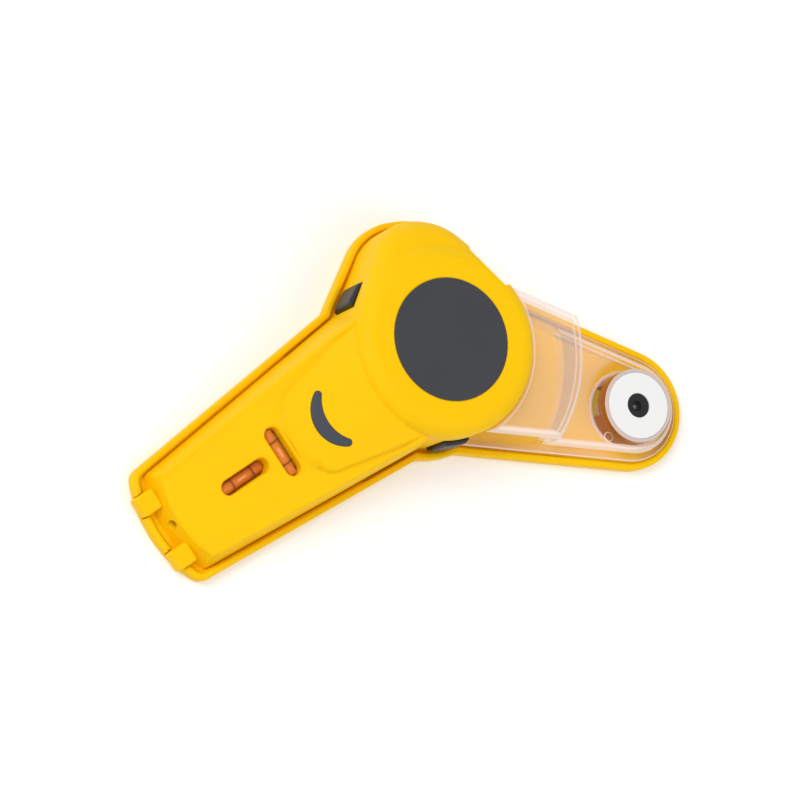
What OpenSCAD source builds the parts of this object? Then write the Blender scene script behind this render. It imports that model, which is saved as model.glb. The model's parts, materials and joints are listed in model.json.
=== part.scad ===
// Drill dust collector: a boomerang-shaped wall tool with a fan drum, a handle with
// two spirit vials and a laser, and a clear dust box that holds the drill guide.
// Origin: fan axis on the wall face. +X from the handle to the drum, +Z away from the wall.

/* [Plan] */
// Radius of the wall plate round the fan axis
plate_r = 47.5; // [45:0.5:50]
// Radius of the lobe on the outside of the bend
lobe_r = 28; // [26:0.5:30]
// Distance from the fan axis to the middle of the lobe
lobe_offset = 32.2; // [30:0.1:34]
// Direction of the lobe from the handle line
lobe_angle = 67.5; // [62:0.5:73]
// Distance by which the lobe swells towards the dust arm
lobe_swell = 4; // [3:0.1:4.5]
// Radius that the dust arm flares to at the fan axis
arm_root_r = 43.1; // [41:0.1:45]
// Radius of the dust arm's round end
arm_end_r = 28; // [27:0.5:30]
// Distance from the fan axis to the drill axis
drill_offset = 107; // [103:1:115]
// Direction of the dust arm from the handle line
arm_angle = -45; // [-50:1:-42]
// Reach of the handle from the fan axis to its end
handle_reach = 152; // [150:1:160]
// Distance of each handle edge from the fan axis
handle_root_r = 40.7; // [39.5:0.1:42]
// Angle by which each handle edge draws in towards the end
handle_taper = 5.3; // [4.8:0.1:5.8]
// Radius of the handle's curved end
handle_end_r = 58; // [50:1:70]
// Radius of the handle's end corners
handle_corner_r = 6; // [4:0.5:8]

/* [Wall plate] */
// Thickness of the plate's floor
plate_floor = 2.2; // [2:0.1:2.6]
// Height of the plate's rim
rim_h = 6; // [5.5:0.1:6.4]
// Width of the plate's rim
rim_w = 3; // [2.6:0.1:3.4]
// Gap between the rim and what sits inside it
seam_gap = 0.7; // [0.5:0.1:1]
// Depth of the foam seal and the pads let into the back
seal_depth = 1.1; // [0.8:0.1:1.3]
// Width of the foam seal
seal_w = 4; // [3:0.5:5]
// Distance of the foam seal from the plate's edge
seal_inset = 4; // [3:0.5:5]
// Distance from the fan axis to the middle of the foam seal's wide end
seal_reach = 56; // [54:0.5:60]
// Radius of the drill's hole through the plate
plate_hole_r = 14; // [12:0.5:14.5]
// Radius of the grip pads under the handle
pad_r = 5; // [4:0.5:6]

/* [Cover] */
// Wall thickness of the cover
wall = 1.8; // [1.6:0.1:2]
// Radius of the drum
drum_r = 42.4; // [42:0.1:42.8]
// Height of the drum's flat top above the wall face
drum_top = 40; // [39.5:0.1:42]
// Rounding of the drum's top edge
drum_round = 8; // [6:0.5:9]
// Height of the lobe's top at its outer end
lobe_top = 29; // [28:0.5:30]
// Height of the lobe's top where it runs into the drum
lobe_root_top = 36; // [34:0.5:37]
// Distance by which the cover stops short of the handle's end
end_recess = 3; // [2.5:0.1:4]
// Height of the handle's top at its end
handle_end_top = 12; // [11.8:0.1:13]
// Rise of the handle's top for each millimetre along it
handle_rise = 0.156; // [0.15:0.002:0.166]
// Distance by which the handle's sides lean in at the top
handle_lean = 3.5; // [3:0.1:4]
// Rounding of the handle's top edge
handle_round = 2.5; // [2:0.1:3]
// Length of the tongue beyond the thumb inlay
tongue_nose = 10.3; // [9.3:0.1:12]
// Half width of the tongue behind its nose
tongue_half_w = 19; // [17:0.5:20]
// Height of the tongue's crown where it meets the drum
tongue_top = 37.5; // [36:0.1:38]
// Width of each end tab
tab_w = 9.4; // [8:0.2:11]
// Distance of each end tab from the handle line
tab_y = 13.4; // [12.5:0.1:14.5]
// Height of the end tabs
tab_top = 8.8; // [8:0.1:9.5]
// Flat ring of the drum's top round the label disc
label_margin = 7.2; // [6:0.1:9]
// Thickness of the label disc
label_t = 0.5; // [0.4:0.1:0.8]
// Half angle of the filter window in the drum
filter_half_angle = 19; // [16:1:20]
// Number of exhaust slots in the lobe's flank
vent_count = 5; // [3:1:5]
// Width of each exhaust slot
vent_w = 2; // [1.6:0.1:2.2]

/* [Thumb inlay] */
// Radius of the inlay's outer arc
inlay_out_r = 15.7; // [15:0.1:16.5]
// Width of the inlay at its middle
inlay_w = 5.6; // [5:0.1:6.2]
// Distance of the inlay's outer arc from the fan axis
inlay_reach = 71.7; // [70:0.1:73]
// Height of the inlay above the cover
inlay_proud = 0.3; // [0.2:0.1:0.6]

/* [Spirit vials] */
// Radius of each vial
vial_r = 3.5; // [3.3:0.05:3.6]
// Length of each vial
vial_len = 24; // [22:0.5:25]
// Wall thickness of each vial
vial_wall = 0.8; // [0.6:0.1:1]
// Length of each window over a vial
window_len = 23; // [21:0.5:24]
// Width of each window over a vial
window_w = 6.3; // [5.5:0.1:6.6]
// Place of the axial vial's middle, as a share of the handle's reach
axial_share = 0.704; // [0.7:0.001:0.71]
// Distance between the middles of the two vials
vial_step = 19.5; // [19:0.1:19.6]

/* [Buttons] */
// Direction of the fan button from the handle line
fan_button_angle = 117; // [115:0.5:118]
// Direction of the laser button from the handle line
laser_button_angle = -113.5; // [-116:0.5:-112]
// Width of each side button
button_w = 12; // [10:0.5:12.5]
// Lower edge of the side buttons
button_low = 7.2; // [7:0.1:8]
// Upper edge of the side buttons
button_high = 25.6; // [22:0.1:25.8]
// Distance by which a button stands out of the drum
button_proud = 1.3; // [1:0.1:2]
// Travel of a button
button_travel = 2.2; // [1.5:0.1:2.4]

/* [Dust box] */
// Wall thickness of the dust box
box_wall = 2; // [1.8:0.1:2.4]
// Height of the tall chamber
tall_top = 33; // [32:0.5:34.5]
// Radius of the tall chamber's outer wall about the fan axis
tall_r = 69.5; // [68:0.5:71]
// Height of the low chamber
low_top = 12.6; // [12:0.1:13.2]
// Distance of the tall chamber's wall from the plate's edge
tall_inset = 5.7; // [5.4:0.1:6.2]
// Distance of the low chamber's wall from the plate's edge
low_inset = 6.8; // [6.2:0.1:7]
// Bevel of the chambers' top edges
box_bevel = 3.4; // [2.6:0.1:3.8]
// Height of the dust box's foot flange
flange_top = 7.2; // [6.8:0.1:8]

/* [Drill guide] */
// Radius of the white guide ring
ring_r = 15.3; // [14.8:0.1:15.6]
// Height of the guide ring's top above the wall face
ring_top = 16.6; // [16:0.1:18]
// Thickness of the guide ring
ring_t = 2.6; // [2.2:0.1:3]
// Radius of the hole in the guide ring
ring_hole_r = 5.6; // [5:0.1:6]
// Wall of the drill tube round the guide ring
tube_wall = 1.6; // [1.4:0.1:1.8]
// Radius of the hole in the rubber seal
seal_hole_r = 2.2; // [2.1:0.1:3]

/* [Motor and fan] */
// Radius of the motor can
motor_r = 12; // [11:0.5:12.5]
// Underside of the motor deck
deck_z = 27.4; // [27.2:0.1:27.6]
// Thickness of the motor deck
deck_t = 1.5; // [1.3:0.1:1.6]
// Radius of the fan's inlet eye
eye_r = 20; // [18:0.5:22]
// Radius of the impeller
fan_r = 32; // [30:0.5:32.5]
// Number of blades on the impeller
blade_count = 11; // [7:1:13]
// Radius of the motor shaft
shaft_r = 1; // [0.8:0.05:1.2]

/* [Batteries] */
// Radius of a cell
cell_r = 7.2; // [7:0.05:7.25]
// Length of a cell without its nub
cell_len = 49.2; // [48:0.1:49.5]
// Wall thickness of the battery cradle
cradle_wall = 1.2; // [1:0.1:1.3]
// Thickness of the battery door
door_t = 1.5; // [1.3:0.1:1.6]

/* [Laser] */
// Radius of the laser barrel
laser_r = 2.8; // [2.5:0.1:2.9]
// Length of the laser barrel
laser_len = 14; // [11:0.5:15]
// Height of the laser's axis above the wall face
laser_z = 7.5; // [7.2:0.1:7.8]
// Radius of the laser's outlet in the cover
outlet_r = 2.2; // [1.8:0.1:2.4]

/* [Hidden] */
$fn = 96;
eps = 0.01;
// Tangent lines run this far inside their circles, so that each meets them at one clean crossing
bite = 0.02;
// Roundness of the pieces that are blended by a hull
blend_fn = 32;

yellow = "#ffcc00";
slate = "#4a4d52";
rubber_black = "#232325";
clear_peach = "#fbd9bf";
steel = "#b9bcc0";
brass = "#c9a24a";
board_green = "#2f6b3a";

// Plan of the outline
lobe_c = lobe_offset * dir(lobe_angle);
swell_c = lobe_c + lobe_swell * dir(lobe_angle - 90);
drill_c = drill_offset * dir(arm_angle);
edge_n = dir(90 + handle_taper);
seam_in = rim_w + seam_gap;
drum_in_r = drum_r - wall;
label_d = 2 * (drum_r - drum_round - label_margin);
cover_reach = handle_reach - end_recess;
tongue_reach = inlay_reach + tongue_nose;
axial_x = axial_share * handle_reach;
cross_x = axial_x - vial_step;
corner_min = 1;

// Heights of the blended forms, as steps round a quarter circle
round_steps = [0, 30, 60, 90];

// Clearances
fit = 0.3;
slip = 0.1;
run_fit = 0.03;

function dir(a) = [cos(a), sin(a)];
function flip(p) = [p[0], -p[1]];

// Half width of the handle's outline at x, drawn in by i
function handle_half(x, i) = (handle_root_r - i - edge_n[0] * x) / edge_n[1];
// Height of the cover's handle at x
function handle_top(x) = handle_end_top + handle_rise * (x + cover_reach - seam_in);

function corner_round(i) = max(handle_corner_r - i, corner_min);
function end_centre(reach) = [-(reach - handle_end_r), 0];

// Middle of the upper end corner: the circle that touches the handle's edge and its end arc
function corner_centre(i, reach) =
    let (r = corner_round(i), end = end_centre(reach), span = handle_end_r - i - r)
    end + span * flip(-dir(corner_turn(i, reach)));
function corner_turn(i, reach) =
    let (r = corner_round(i), end = end_centre(reach), span = handle_end_r - i - r)
    acos(-(handle_root_r - i - r - edge_n[0] * end[0]) / span) - (90 + handle_taper);

// The two common tangents of two circles, as a quadrilateral
function tangent_quad(c1, r1, c2, r2) =
    let (d = c2 - c1, a = atan2(d[1], d[0]), b = acos((r1 - r2) / norm(d)), q1 = r1 - bite, q2 = r2 - bite)
    [c1 + q1 * dir(a + b), c2 + q2 * dir(a + b), c2 + q2 * dir(a - b), c1 + q1 * dir(a - b)];

module tangent_pair(c1, r1, c2, r2) {
    translate(c1) circle(r1);
    translate(c2) circle(r2);
    polygon(tangent_quad(c1, r1, c2, r2));
}

// Outline of the handle, drawn in by i
module handle_plan(i, reach = handle_reach) {
    r = corner_round(i);
    c = corner_centre(i, reach);
    end = end_centre(reach);
    turn = corner_turn(i, reach);
    root = (handle_root_r - i) * edge_n;
    side = c + r * edge_n;
    tip = c + r * flip(-dir(turn));
    ray = 2 * handle_end_r * flip(-dir(turn));
    polygon([root, side, tip, flip(tip), flip(side), flip(root)]);
    translate(c) circle(r + bite);
    translate(flip(c)) circle(r + bite);
    intersection() {
        translate(end) circle(handle_end_r - i);
        polygon([end, end + ray, end + flip(ray)]);
    }
}

// Outline of the drum and the lobe, drawn in by i
module bend_plan(i) {
    for (c = [lobe_c, swell_c]) tangent_pair([0, 0], plate_r - i, c, lobe_r - i);
    tangent_pair(lobe_c, lobe_r - i, swell_c, lobe_r - i);
}

// Outline of the dust arm, drawn in by i
module arm_plan(i) tangent_pair([0, 0], arm_root_r - i, drill_c, arm_end_r - i);

module plate_plan(i) {
    bend_plan(i);
    arm_plan(i);
    handle_plan(i);
}

// Loop of the foam seal round the dust arm's mouth, drawn in by i
module seal_loop(i) tangent_pair(seal_reach * dir(arm_angle),
    arm_root_r + (arm_end_r - arm_root_r) * seal_reach / drill_offset - i, drill_c, arm_end_r - i);

// A flat slot with round ends along X
module slot_plan(length, width) {
    span = length - width;
    square([span, width], center = true);
    for (s = [-1, 1]) translate([s * span / 2, 0]) circle(width / 2);
}

module at_button(angle) rotate([0, 0, angle]) children();
button_angles = [fan_button_angle, laser_button_angle];

module at_drill() translate([drill_c[0], drill_c[1], 0]) children();

// Wall plate and what sits in its back
post_angles = [-92, 10, 92];
post_r = 3.2;
post_reach = drum_in_r - post_r - 1;
stack_screw_r = 1.4;
stack_head_r = 2.8;
stack_head_t = 1.6;
screw_sink = 0.5;
handle_screw_back = 21;
handle_screw_at = [for (y = [17, -17]) [handle_screw_back - handle_reach, y]];
handle_screw_len = 9;
handle_screw_r = 1.1;
handle_head_r = 2.2;
handle_boss_r = 2.8;
pad_back = 36;
pad_at = [for (y = [20, -20]) [pad_back - handle_reach, y]];

module at_posts() for (a = post_angles) rotate([0, 0, a]) translate([post_reach, 0, 0]) children();

// Circuit board in the lobe
board_size = [22, 15, 1.6];
board_at = lobe_c + [3.5, 5];
board_z = 10;
board_pin_r = 1.2;
board_post_r = 2.2;
board_pins = [for (sx = [-1, 1]) [board_at[0] + sx * (board_size[0] / 2 - board_post_r - fit),
                                  board_at[1] - board_size[1] / 2 + board_post_r + fit]];

// Switches stand behind the side buttons, in each button's own radial frame
flange_over = 1.2;
flange_t = 1.6;
flange_out = sqrt(pow(drum_in_r, 2) - pow(button_w / 2 + flange_over, 2)) - 2 * fit;
flange_in = flange_out - flange_t;
switch_size = [4, 6, 6];
plunger_r = 1.5;
plunger_end = flange_in - button_travel - slip;
plunger_len = 2.6;
switch_front = plunger_end - plunger_len;
switch_z = (button_low + button_high) / 2;
bracket_t = 1.6;
bracket_w = 9;

module wall_plate() color(yellow) difference() {
    union() {
        difference() {
            linear_extrude(rim_h) plate_plan(0);
            translate([0, 0, plate_floor]) linear_extrude(rim_h) plate_plan(rim_w);
        }
        at_posts() cylinder(r = post_r, h = deck_z);
        for (p = board_pins) translate(p) {
            cylinder(r = board_post_r, h = board_z);
            cylinder(r = board_pin_r, h = board_z + board_size[2] + 1);
        }
        for (angle = button_angles) at_button(angle)
            translate([switch_front - switch_size[0] - bracket_t, -bracket_w / 2, 0])
                cube([bracket_t, bracket_w, switch_z + switch_size[2] / 2]);
        laser_saddle();
        vial_rib();
    }
    at_drill() translate([0, 0, -eps]) cylinder(r = plate_hole_r, h = plate_floor + 1);
    difference() {
        translate([0, 0, -eps]) linear_extrude(seal_depth + eps) seal_loop(seal_inset);
        translate([0, 0, -2 * eps]) linear_extrude(seal_depth + 4 * eps) seal_loop(seal_inset + seal_w);
    }
    for (p = pad_at) translate([p[0], p[1], -eps]) cylinder(r = pad_r, h = seal_depth + eps);
    door_opening();
    at_posts() {
        translate([0, 0, -eps]) cylinder(r = stack_screw_r + slip, h = deck_z + 1);
        translate([0, 0, -eps]) cylinder(r = stack_head_r + slip, h = screw_sink + stack_head_t + eps);
    }
    for (p = handle_screw_at) translate([p[0], p[1], -eps]) {
        cylinder(r = handle_screw_r + slip, h = plate_floor + 1);
        cylinder(r = handle_head_r + slip, h = screw_sink + eps);
    }
    for (side = [-1, 1]) translate([-handle_reach - 1, side * tab_y - tab_w / 2 - fit, plate_floor])
        cube([rim_w + 4, tab_w + 2 * fit, rim_h]);
}

module wall_seal() color(rubber_black) difference() {
    linear_extrude(seal_depth) seal_loop(seal_inset);
    translate([0, 0, -eps]) linear_extrude(seal_depth + 2 * eps) seal_loop(seal_inset + seal_w);
}

module grip_pads() color(rubber_black)
    for (p = pad_at) translate(p) cylinder(r = pad_r, h = seal_depth);

// Main cover

// Round-topped drum about the fan axis
module drum_solid(r, top, rounding) rotate_extrude() {
    square([r - rounding, top]);
    square([r, top - rounding]);
    translate([r - rounding, top - rounding]) intersection() {
        circle(rounding);
        square(rounding);
    }
}

// Lobe that falls away from the drum, with a rounded top edge, thinned by thin on all sides
module lobe_solid(thin) hull() for (a = round_steps) {
    shrink = thin + (drum_round - thin) * (1 - cos(a));
    drop = thin + (drum_round - thin) * (1 - sin(a));
    cylinder(r = drum_r - shrink, h = lobe_root_top - drop, $fn = blend_fn);
    for (c = [lobe_c, swell_c])
        translate(c) cylinder(r = lobe_r - seam_in - shrink, h = lobe_top - drop, $fn = blend_fn);
}

// A thin level or sloping slice of the handle's outline
module handle_slice(i, drop) multmatrix([[1, 0, 0, 0], [0, 1, 0, 0],
        [handle_rise, 0, 1, handle_top(0) - drop - eps], [0, 0, 0, 1]])
    linear_extrude(eps) handle_plan(i, cover_reach, $fn = blend_fn);

// Handle with leaning sides and a rising top, drawn in by i on all sides
module handle_solid(i, thin) hull() {
    linear_extrude(eps) handle_plan(i, cover_reach, $fn = blend_fn);
    for (a = round_steps)
        handle_slice(i + handle_lean + handle_round * (1 - cos(a)), thin + handle_round * (1 - sin(a)));
}

// Tongue: crowned sections that widen and rise from its nose to the drum
tongue_foot = 8;
tongue_root = drum_r - drum_round - wall;
tongue_shoulder_drop = 6;
tongue_nose_back = 6;
tongue_nose_lift = 0.6;
crown_turns = [-1, -0.75, -0.45, 0, 0.45, 0.75, 1];

// One thin crowned section at x, with half width w and crown height z
module tongue_slice(x, w, z, shoulder, i, thin) translate([x, 0, 0]) rotate([90, 0, 90])
    linear_extrude(eps) polygon(concat(
        [[-handle_half(x, i), 0], [-handle_half(x, i), tongue_foot - thin]],
        [for (t = crown_turns) [t * (w - thin), z - thin - shoulder * t * t]],
        [[handle_half(x, i), tongue_foot - thin], [handle_half(x, i), 0]]));

tongue_slope = (tongue_top - handle_top(-tongue_reach)) / (tongue_reach - drum_r);
function tongue_z(x) = handle_top(-tongue_reach) + tongue_nose_lift + tongue_slope * (x + tongue_reach);
tongue_root_w = handle_half(-tongue_root, seam_in) - handle_lean - handle_round;

module tongue_solid(i, thin) hull() {
    nose = -tongue_reach + thin;
    tongue_slice(nose, tongue_half_w * 0.72, tongue_z(nose), 1, i + handle_lean, thin);
    brow = nose + tongue_nose_back;
    tongue_slice(brow, tongue_half_w, tongue_z(brow), 2, i + handle_lean / 2, thin);
    tongue_slice(-tongue_root, tongue_root_w, tongue_top, tongue_shoulder_drop, i, thin);
}

module cover_outside() {
    drum_solid(drum_r, drum_top, drum_round);
    lobe_solid(0);
    handle_solid(seam_in, 0);
    tongue_solid(seam_in, 0);
}

module cover_inside() translate([0, 0, -eps]) {
    drum_solid(drum_in_r, drum_top - wall, drum_round - wall);
    lobe_solid(wall);
    handle_solid(seam_in + wall, wall);
    tongue_solid(seam_in + wall, wall);
}

// Crescent of the thumb inlay, grown by g: two arcs that a small circle closes at each tip
inlay_in_r = inlay_out_r + 6.4;
inlay_out_c = [-inlay_reach + inlay_out_r, 0];
inlay_in_c = [-inlay_reach + inlay_w + inlay_in_r, 0];
inlay_tip_r = 1.1;
inlay_span = inlay_in_c[0] - inlay_out_c[0];
tip_out = inlay_out_r - inlay_tip_r;
tip_in = inlay_in_r + inlay_tip_r;
tip_x = (pow(tip_out, 2) - pow(tip_in, 2) + pow(inlay_span, 2)) / (2 * inlay_span);
tip_at = [tip_x, sqrt(pow(tip_out, 2) - pow(tip_x, 2))];

module inlay_plan(g) translate(inlay_out_c) {
    far = 3 * tip_at;
    difference() {
        circle(inlay_out_r + g);
        translate(inlay_in_c - inlay_out_c) circle(inlay_in_r - g);
        polygon([[0, 0], far, [inlay_reach, far[1]], [inlay_reach, -far[1]], flip(far)]);
    }
    for (p = [tip_at, flip(tip_at)]) translate(p) circle(inlay_tip_r + g);
}

// Straight flank between the lobe and the drum, on the dust arm's side
swell_angle = atan2(swell_c[1], swell_c[0]);
flank_turn = acos((drum_r - lobe_r + seam_in) / norm(swell_c));
flank_angle = swell_angle - flank_turn;
flank_len = norm(swell_c) * sin(flank_turn);
vent_low = 9;
vent_high = 22;
vent_pitch = 4;

module vents() rotate([0, 0, flank_angle]) for (k = [0 : vent_count - 1]) {
    y = flank_len / 2 + (k - (vent_count - 1) / 2) * vent_pitch;
    translate([drum_r - 2 * wall, y - vent_w / 2, vent_low])
        cube([4 * wall, vent_w, vent_high - vent_low]);
}

// Filter window through the drum's wall, between two turns about the fan axis
filter_low = 7;
filter_high = 22;
module filter_sector(r1, r2, low, high, half) rotate([0, 0, arm_angle - half])
    rotate_extrude(angle = 2 * half) translate([r1, low]) square([r2 - r1, high - low]);

module windows() {
    translate([-axial_x, 0, 0]) linear_extrude(drum_top) slot_plan(window_len, window_w);
    translate([-cross_x, 0, 0]) rotate([0, 0, 90]) linear_extrude(drum_top) slot_plan(window_len, window_w);
}

module handle_bosses() for (p = handle_screw_at) translate([p[0], p[1], plate_floor])
    cylinder(r = handle_boss_r, h = handle_top(p[0]) - wall / 2 - plate_floor - handle_round / 2);

module main_cover() color(yellow) difference() {
    union() {
        difference() {
            cover_outside();
            cover_inside();
        }
        handle_bosses();
        at_posts() translate([0, 0, deck_z + deck_t])
            cylinder(r = post_r, h = drum_top - wall - deck_z - deck_t - 1);
        translate([0, 0, plate_floor]) linear_extrude(tab_top - plate_floor) intersection() {
            handle_plan(fit);
            for (side = [-1, 1]) translate([-handle_reach, side * tab_y - tab_w / 2])
                square([end_recess + seam_in + wall, tab_w]);
        }
    }
    translate([-handle_reach - 1, -handle_reach, -1])
        cube([2 * handle_reach, 2 * handle_reach, plate_floor + 1]);
    translate([0, 0, drum_top - label_t]) cylinder(d = label_d + 2 * slip, h = 1);
    translate([0, 0, handle_top(-inlay_reach) - 6]) linear_extrude(drum_top) inlay_plan(slip);
    windows();
    vents();
    filter_sector(drum_in_r - 1, drum_r + 1, filter_low + 2, filter_high - 2, filter_half_angle - 3);
    for (angle = button_angles) at_button(angle)
        translate([drum_in_r - 2, -button_w / 2 - fit, button_low - fit])
            cube([6, button_w + 2 * fit, button_high - button_low + 2 * fit]);
    translate([-handle_reach, 0, laser_z]) rotate([0, 90, 0]) cylinder(r = outlet_r, h = 14);
    at_posts() translate([0, 0, deck_z]) cylinder(r = stack_screw_r, h = drum_top - deck_z - 4 * wall);
    for (p = handle_screw_at) translate([p[0], p[1], 0]) cylinder(r = handle_screw_r, h = handle_screw_len + 1);
}

module label_disc() color(slate) translate([0, 0, drum_top - label_t]) cylinder(d = label_d, h = label_t);

module thumb_inlay() color(slate) intersection() {
    linear_extrude(drum_top) inlay_plan(0);
    translate([0, 0, inlay_proud]) difference() {
        tongue_solid(seam_in, 0);
        tongue_solid(seam_in + wall, wall + inlay_proud);
    }
}

// Spirit vials: hollow round-ended tubes with the fluid inside
axial_z = handle_top(-axial_x - vial_len / 2) - wall - vial_r - 2 * slip;
cross_z = handle_top(-cross_x) - wall - vial_r - 2 * fit;

module vial_shape(r, length) rotate([0, 90, 0]) rotate_extrude() {
    intersection() {
        union() {
            translate([0, -length / 2 + r]) square([r, length - 2 * r]);
            for (s = [-1, 1]) translate([0, s * (length / 2 - r)]) circle(r);
        }
        translate([0, -length]) square([r, 2 * length]);
    }
}

module at_axial() translate([-axial_x, 0, axial_z]) children();
module at_cross() translate([-cross_x, 0, cross_z]) rotate([0, 0, 90]) children();

module vial_tube() difference() {
    vial_shape(vial_r, vial_len);
    vial_shape(vial_r - vial_wall, vial_len - 2 * vial_wall);
}

module axial_vial() color(clear_peach) at_axial() vial_tube();
module cross_vial() color(clear_peach) at_cross() vial_tube();
module axial_fluid() color("#e08a3c") at_axial() vial_shape(vial_r - vial_wall, vial_len - 2 * vial_wall);
module cross_fluid() color("#e08a3c") at_cross() vial_shape(vial_r - vial_wall, vial_len - 2 * vial_wall);

// Cradle that carries both vials, on a rib of the plate
saddle_w = 2 * vial_r + 1.6;
saddle_short = 7;
saddle_len = vial_len - saddle_short;
rib_t = 3;
cradle_foot = plate_floor + rib_t;
module vial_rib() translate([-axial_x - saddle_len / 2, -rib_t / 2, 0])
    cube([axial_x + saddle_len / 2 - cross_x, rib_t, cradle_foot]);

module vial_cradle() color(yellow) difference() {
    union() {
        translate([-axial_x - saddle_len / 2, -saddle_w / 2, cradle_foot])
            cube([saddle_len, saddle_w, axial_z - cradle_foot]);
        translate([-cross_x - vial_r, -saddle_len / 2, cradle_foot])
            cube([2 * vial_r, saddle_len, cross_z - cradle_foot]);
        translate([-axial_x, -saddle_w / 2, cradle_foot]) cube([axial_x - cross_x, saddle_w, rib_t]);
    }
    at_axial() vial_shape(vial_r, vial_len);
    at_cross() vial_shape(vial_r, vial_len);
}

// Side buttons, their springs and switches
module side_button(angle) at_button(angle) {
    h = button_high - button_low;
    front = drum_r + button_proud;
    translate([flange_out - eps, 0, button_low + h / 2]) rotate([0, 90, 0])
        linear_extrude(front - flange_out) rounded_pad(h, button_w, 2.4);
    translate([flange_in, -button_w / 2 - flange_over, button_low - flange_over + fit])
        cube([flange_t, button_w + 2 * flange_over, h + 2 * (flange_over - fit)]);
}

// Rectangle with rounded corners
module rounded_pad(x, y, r) {
    square([x - 2 * r, y], center = true);
    square([x, y - 2 * r], center = true);
    for (sx = [-1, 1], sy = [-1, 1]) translate([sx * (x / 2 - r), sy * (y / 2 - r)]) circle(r);
}

module fan_button() color(slate) side_button(fan_button_angle);
module laser_button() color(slate) side_button(laser_button_angle);

// A helical spring along X from x = 0: one unbroken tube
coil_sides = 6;
coil_rings = 10;
function coil_point(k, s, mean_r, wire_r, turns, length) =
    let (n = turns * coil_rings, t = k / n, turn = 360 * turns * t, q = 360 * s / coil_sides,
         r = mean_r + wire_r * cos(q))
    [wire_r + (length - 2 * wire_r) * t + wire_r * sin(q), r * cos(turn), r * sin(turn)];
module coil(mean_r, wire_r, turns, length) {
    n = turns * coil_rings;
    points = [for (k = [0 : n], s = [0 : coil_sides - 1]) coil_point(k, s, mean_r, wire_r, turns, length)];
    function at(k, s) = k * coil_sides + (s % coil_sides);
    walls = [for (k = [0 : n - 1], s = [0 : coil_sides - 1], half = [0, 1])
        half == 0 ? [at(k, s), at(k + 1, s + 1), at(k + 1, s)] : [at(k, s), at(k, s + 1), at(k + 1, s + 1)]];
    first = [for (s = [1 : coil_sides - 2]) [at(0, 0), at(0, s + 1), at(0, s)]];
    last = [for (s = [1 : coil_sides - 2]) [at(n, 0), at(n, s), at(n, s + 1)]];
    polyhedron(points, concat(walls, first, last));
}

spring_wire_r = 0.25;
module button_spring(angle) at_button(angle) translate([switch_front, 0, switch_z])
    coil(plunger_r + fit + spring_wire_r + slip, spring_wire_r, 4, flange_in - switch_front);
module fan_button_spring() color(steel) button_spring(fan_button_angle);
module laser_button_spring() color(steel) button_spring(laser_button_angle);

module side_switch(angle) at_button(angle) translate([switch_front, 0, switch_z]) {
    translate([-switch_size[0], -switch_size[1] / 2, -switch_size[2] / 2]) cube(switch_size);
    rotate([0, 90, 0]) cylinder(r = plunger_r, h = plunger_len);
}
module fan_switch() color(rubber_black) side_switch(fan_button_angle);
module laser_switch() color(rubber_black) side_switch(laser_button_angle);

// Clear dust box with the drill tube
box_z = plate_floor + fit;
box_gap = 0.6;
tube_r = ring_r + slip + tube_wall;
tube_top = ring_top - 0.4;
ledge_w = 1.8;
ledge_t = 1.5;
ring_low = ring_top - ring_t;
port_w = 14;
port_top = 9;

// A chamber with a bevelled top edge, drawn in by i, from level low up to top
module chamber(i, low, top, r) hull() for (b = [0, 1]) translate([0, 0, low])
    linear_extrude(top - low - box_bevel * (1 - b)) intersection() {
        arm_plan(i + box_bevel * b, $fn = blend_fn);
        circle(r - box_bevel * b, $fn = blend_fn * 3);
    }

// The room that the cover and its buttons take, grown by g
module clear_of_cover(g) translate([0, 0, -1]) linear_extrude(drum_top + 2) {
    circle(drum_r + g);
    for (angle = button_angles) at_button(angle)
        translate([0, -button_w / 2 - fit]) square([drum_r + button_proud + fit, button_w + 2 * fit]);
    polygon([[0, 0], handle_reach * dir(laser_button_angle), -handle_reach * dir(arm_angle)]);
    rotate(arm_angle) translate([-2 * drum_r, -2 * drum_r]) square([2 * drum_r, 4 * drum_r]);
    tangent_pair([0, 0], drum_r + g, swell_c, lobe_r - seam_in + g);
}

module dust_box() color(clear_peach, 0.5) difference() {
    union() {
        difference() {
            union() {
                translate([0, 0, box_z]) linear_extrude(flange_top - box_z) arm_plan(seam_in);
                chamber(tall_inset, box_z, tall_top, tall_r);
                chamber(low_inset, box_z, low_top, 2 * drill_offset);
            }
            difference() {
                union() {
                    chamber(tall_inset + box_wall, -1, tall_top - box_wall, tall_r - box_wall);
                    chamber(low_inset + box_wall, -1, low_top - box_wall, 2 * drill_offset);
                }
                clear_of_cover(box_gap + box_wall);
            }
        }
        at_drill() translate([0, 0, box_z]) cylinder(r = tube_r, h = tube_top - box_z);
    }
    at_drill() {
        translate([0, 0, -1]) cylinder(r = ring_r + slip - ledge_w, h = drum_top);
        translate([0, 0, ring_low]) cylinder(r = ring_r + slip, h = drum_top);
        translate([0, 0, -1]) cylinder(r = ring_r + slip, h = ring_low - ledge_t + 1);
    }
    clear_of_cover(box_gap);
    rotate([0, 0, arm_angle]) translate([drill_offset - tube_r - 1, -port_w / 2, 0])
        cube([tube_r, port_w, port_top]);
    filter_sector(drum_r, drum_r + 3 * box_wall, filter_low + 2, filter_high - 2, filter_half_angle - 3);
}

// White guide ring with softened edges, and the rubber seal under its hole
ring_edge = 0.8;
lip_t = 1.6;
lip_over = 2.4;
module guide_ring() color("white") at_drill() translate([0, 0, ring_low]) difference() {
    drum_solid(ring_r, ring_t, ring_edge);
    translate([0, 0, -1]) cylinder(r = ring_hole_r, h = ring_t + 2);
}

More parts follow.
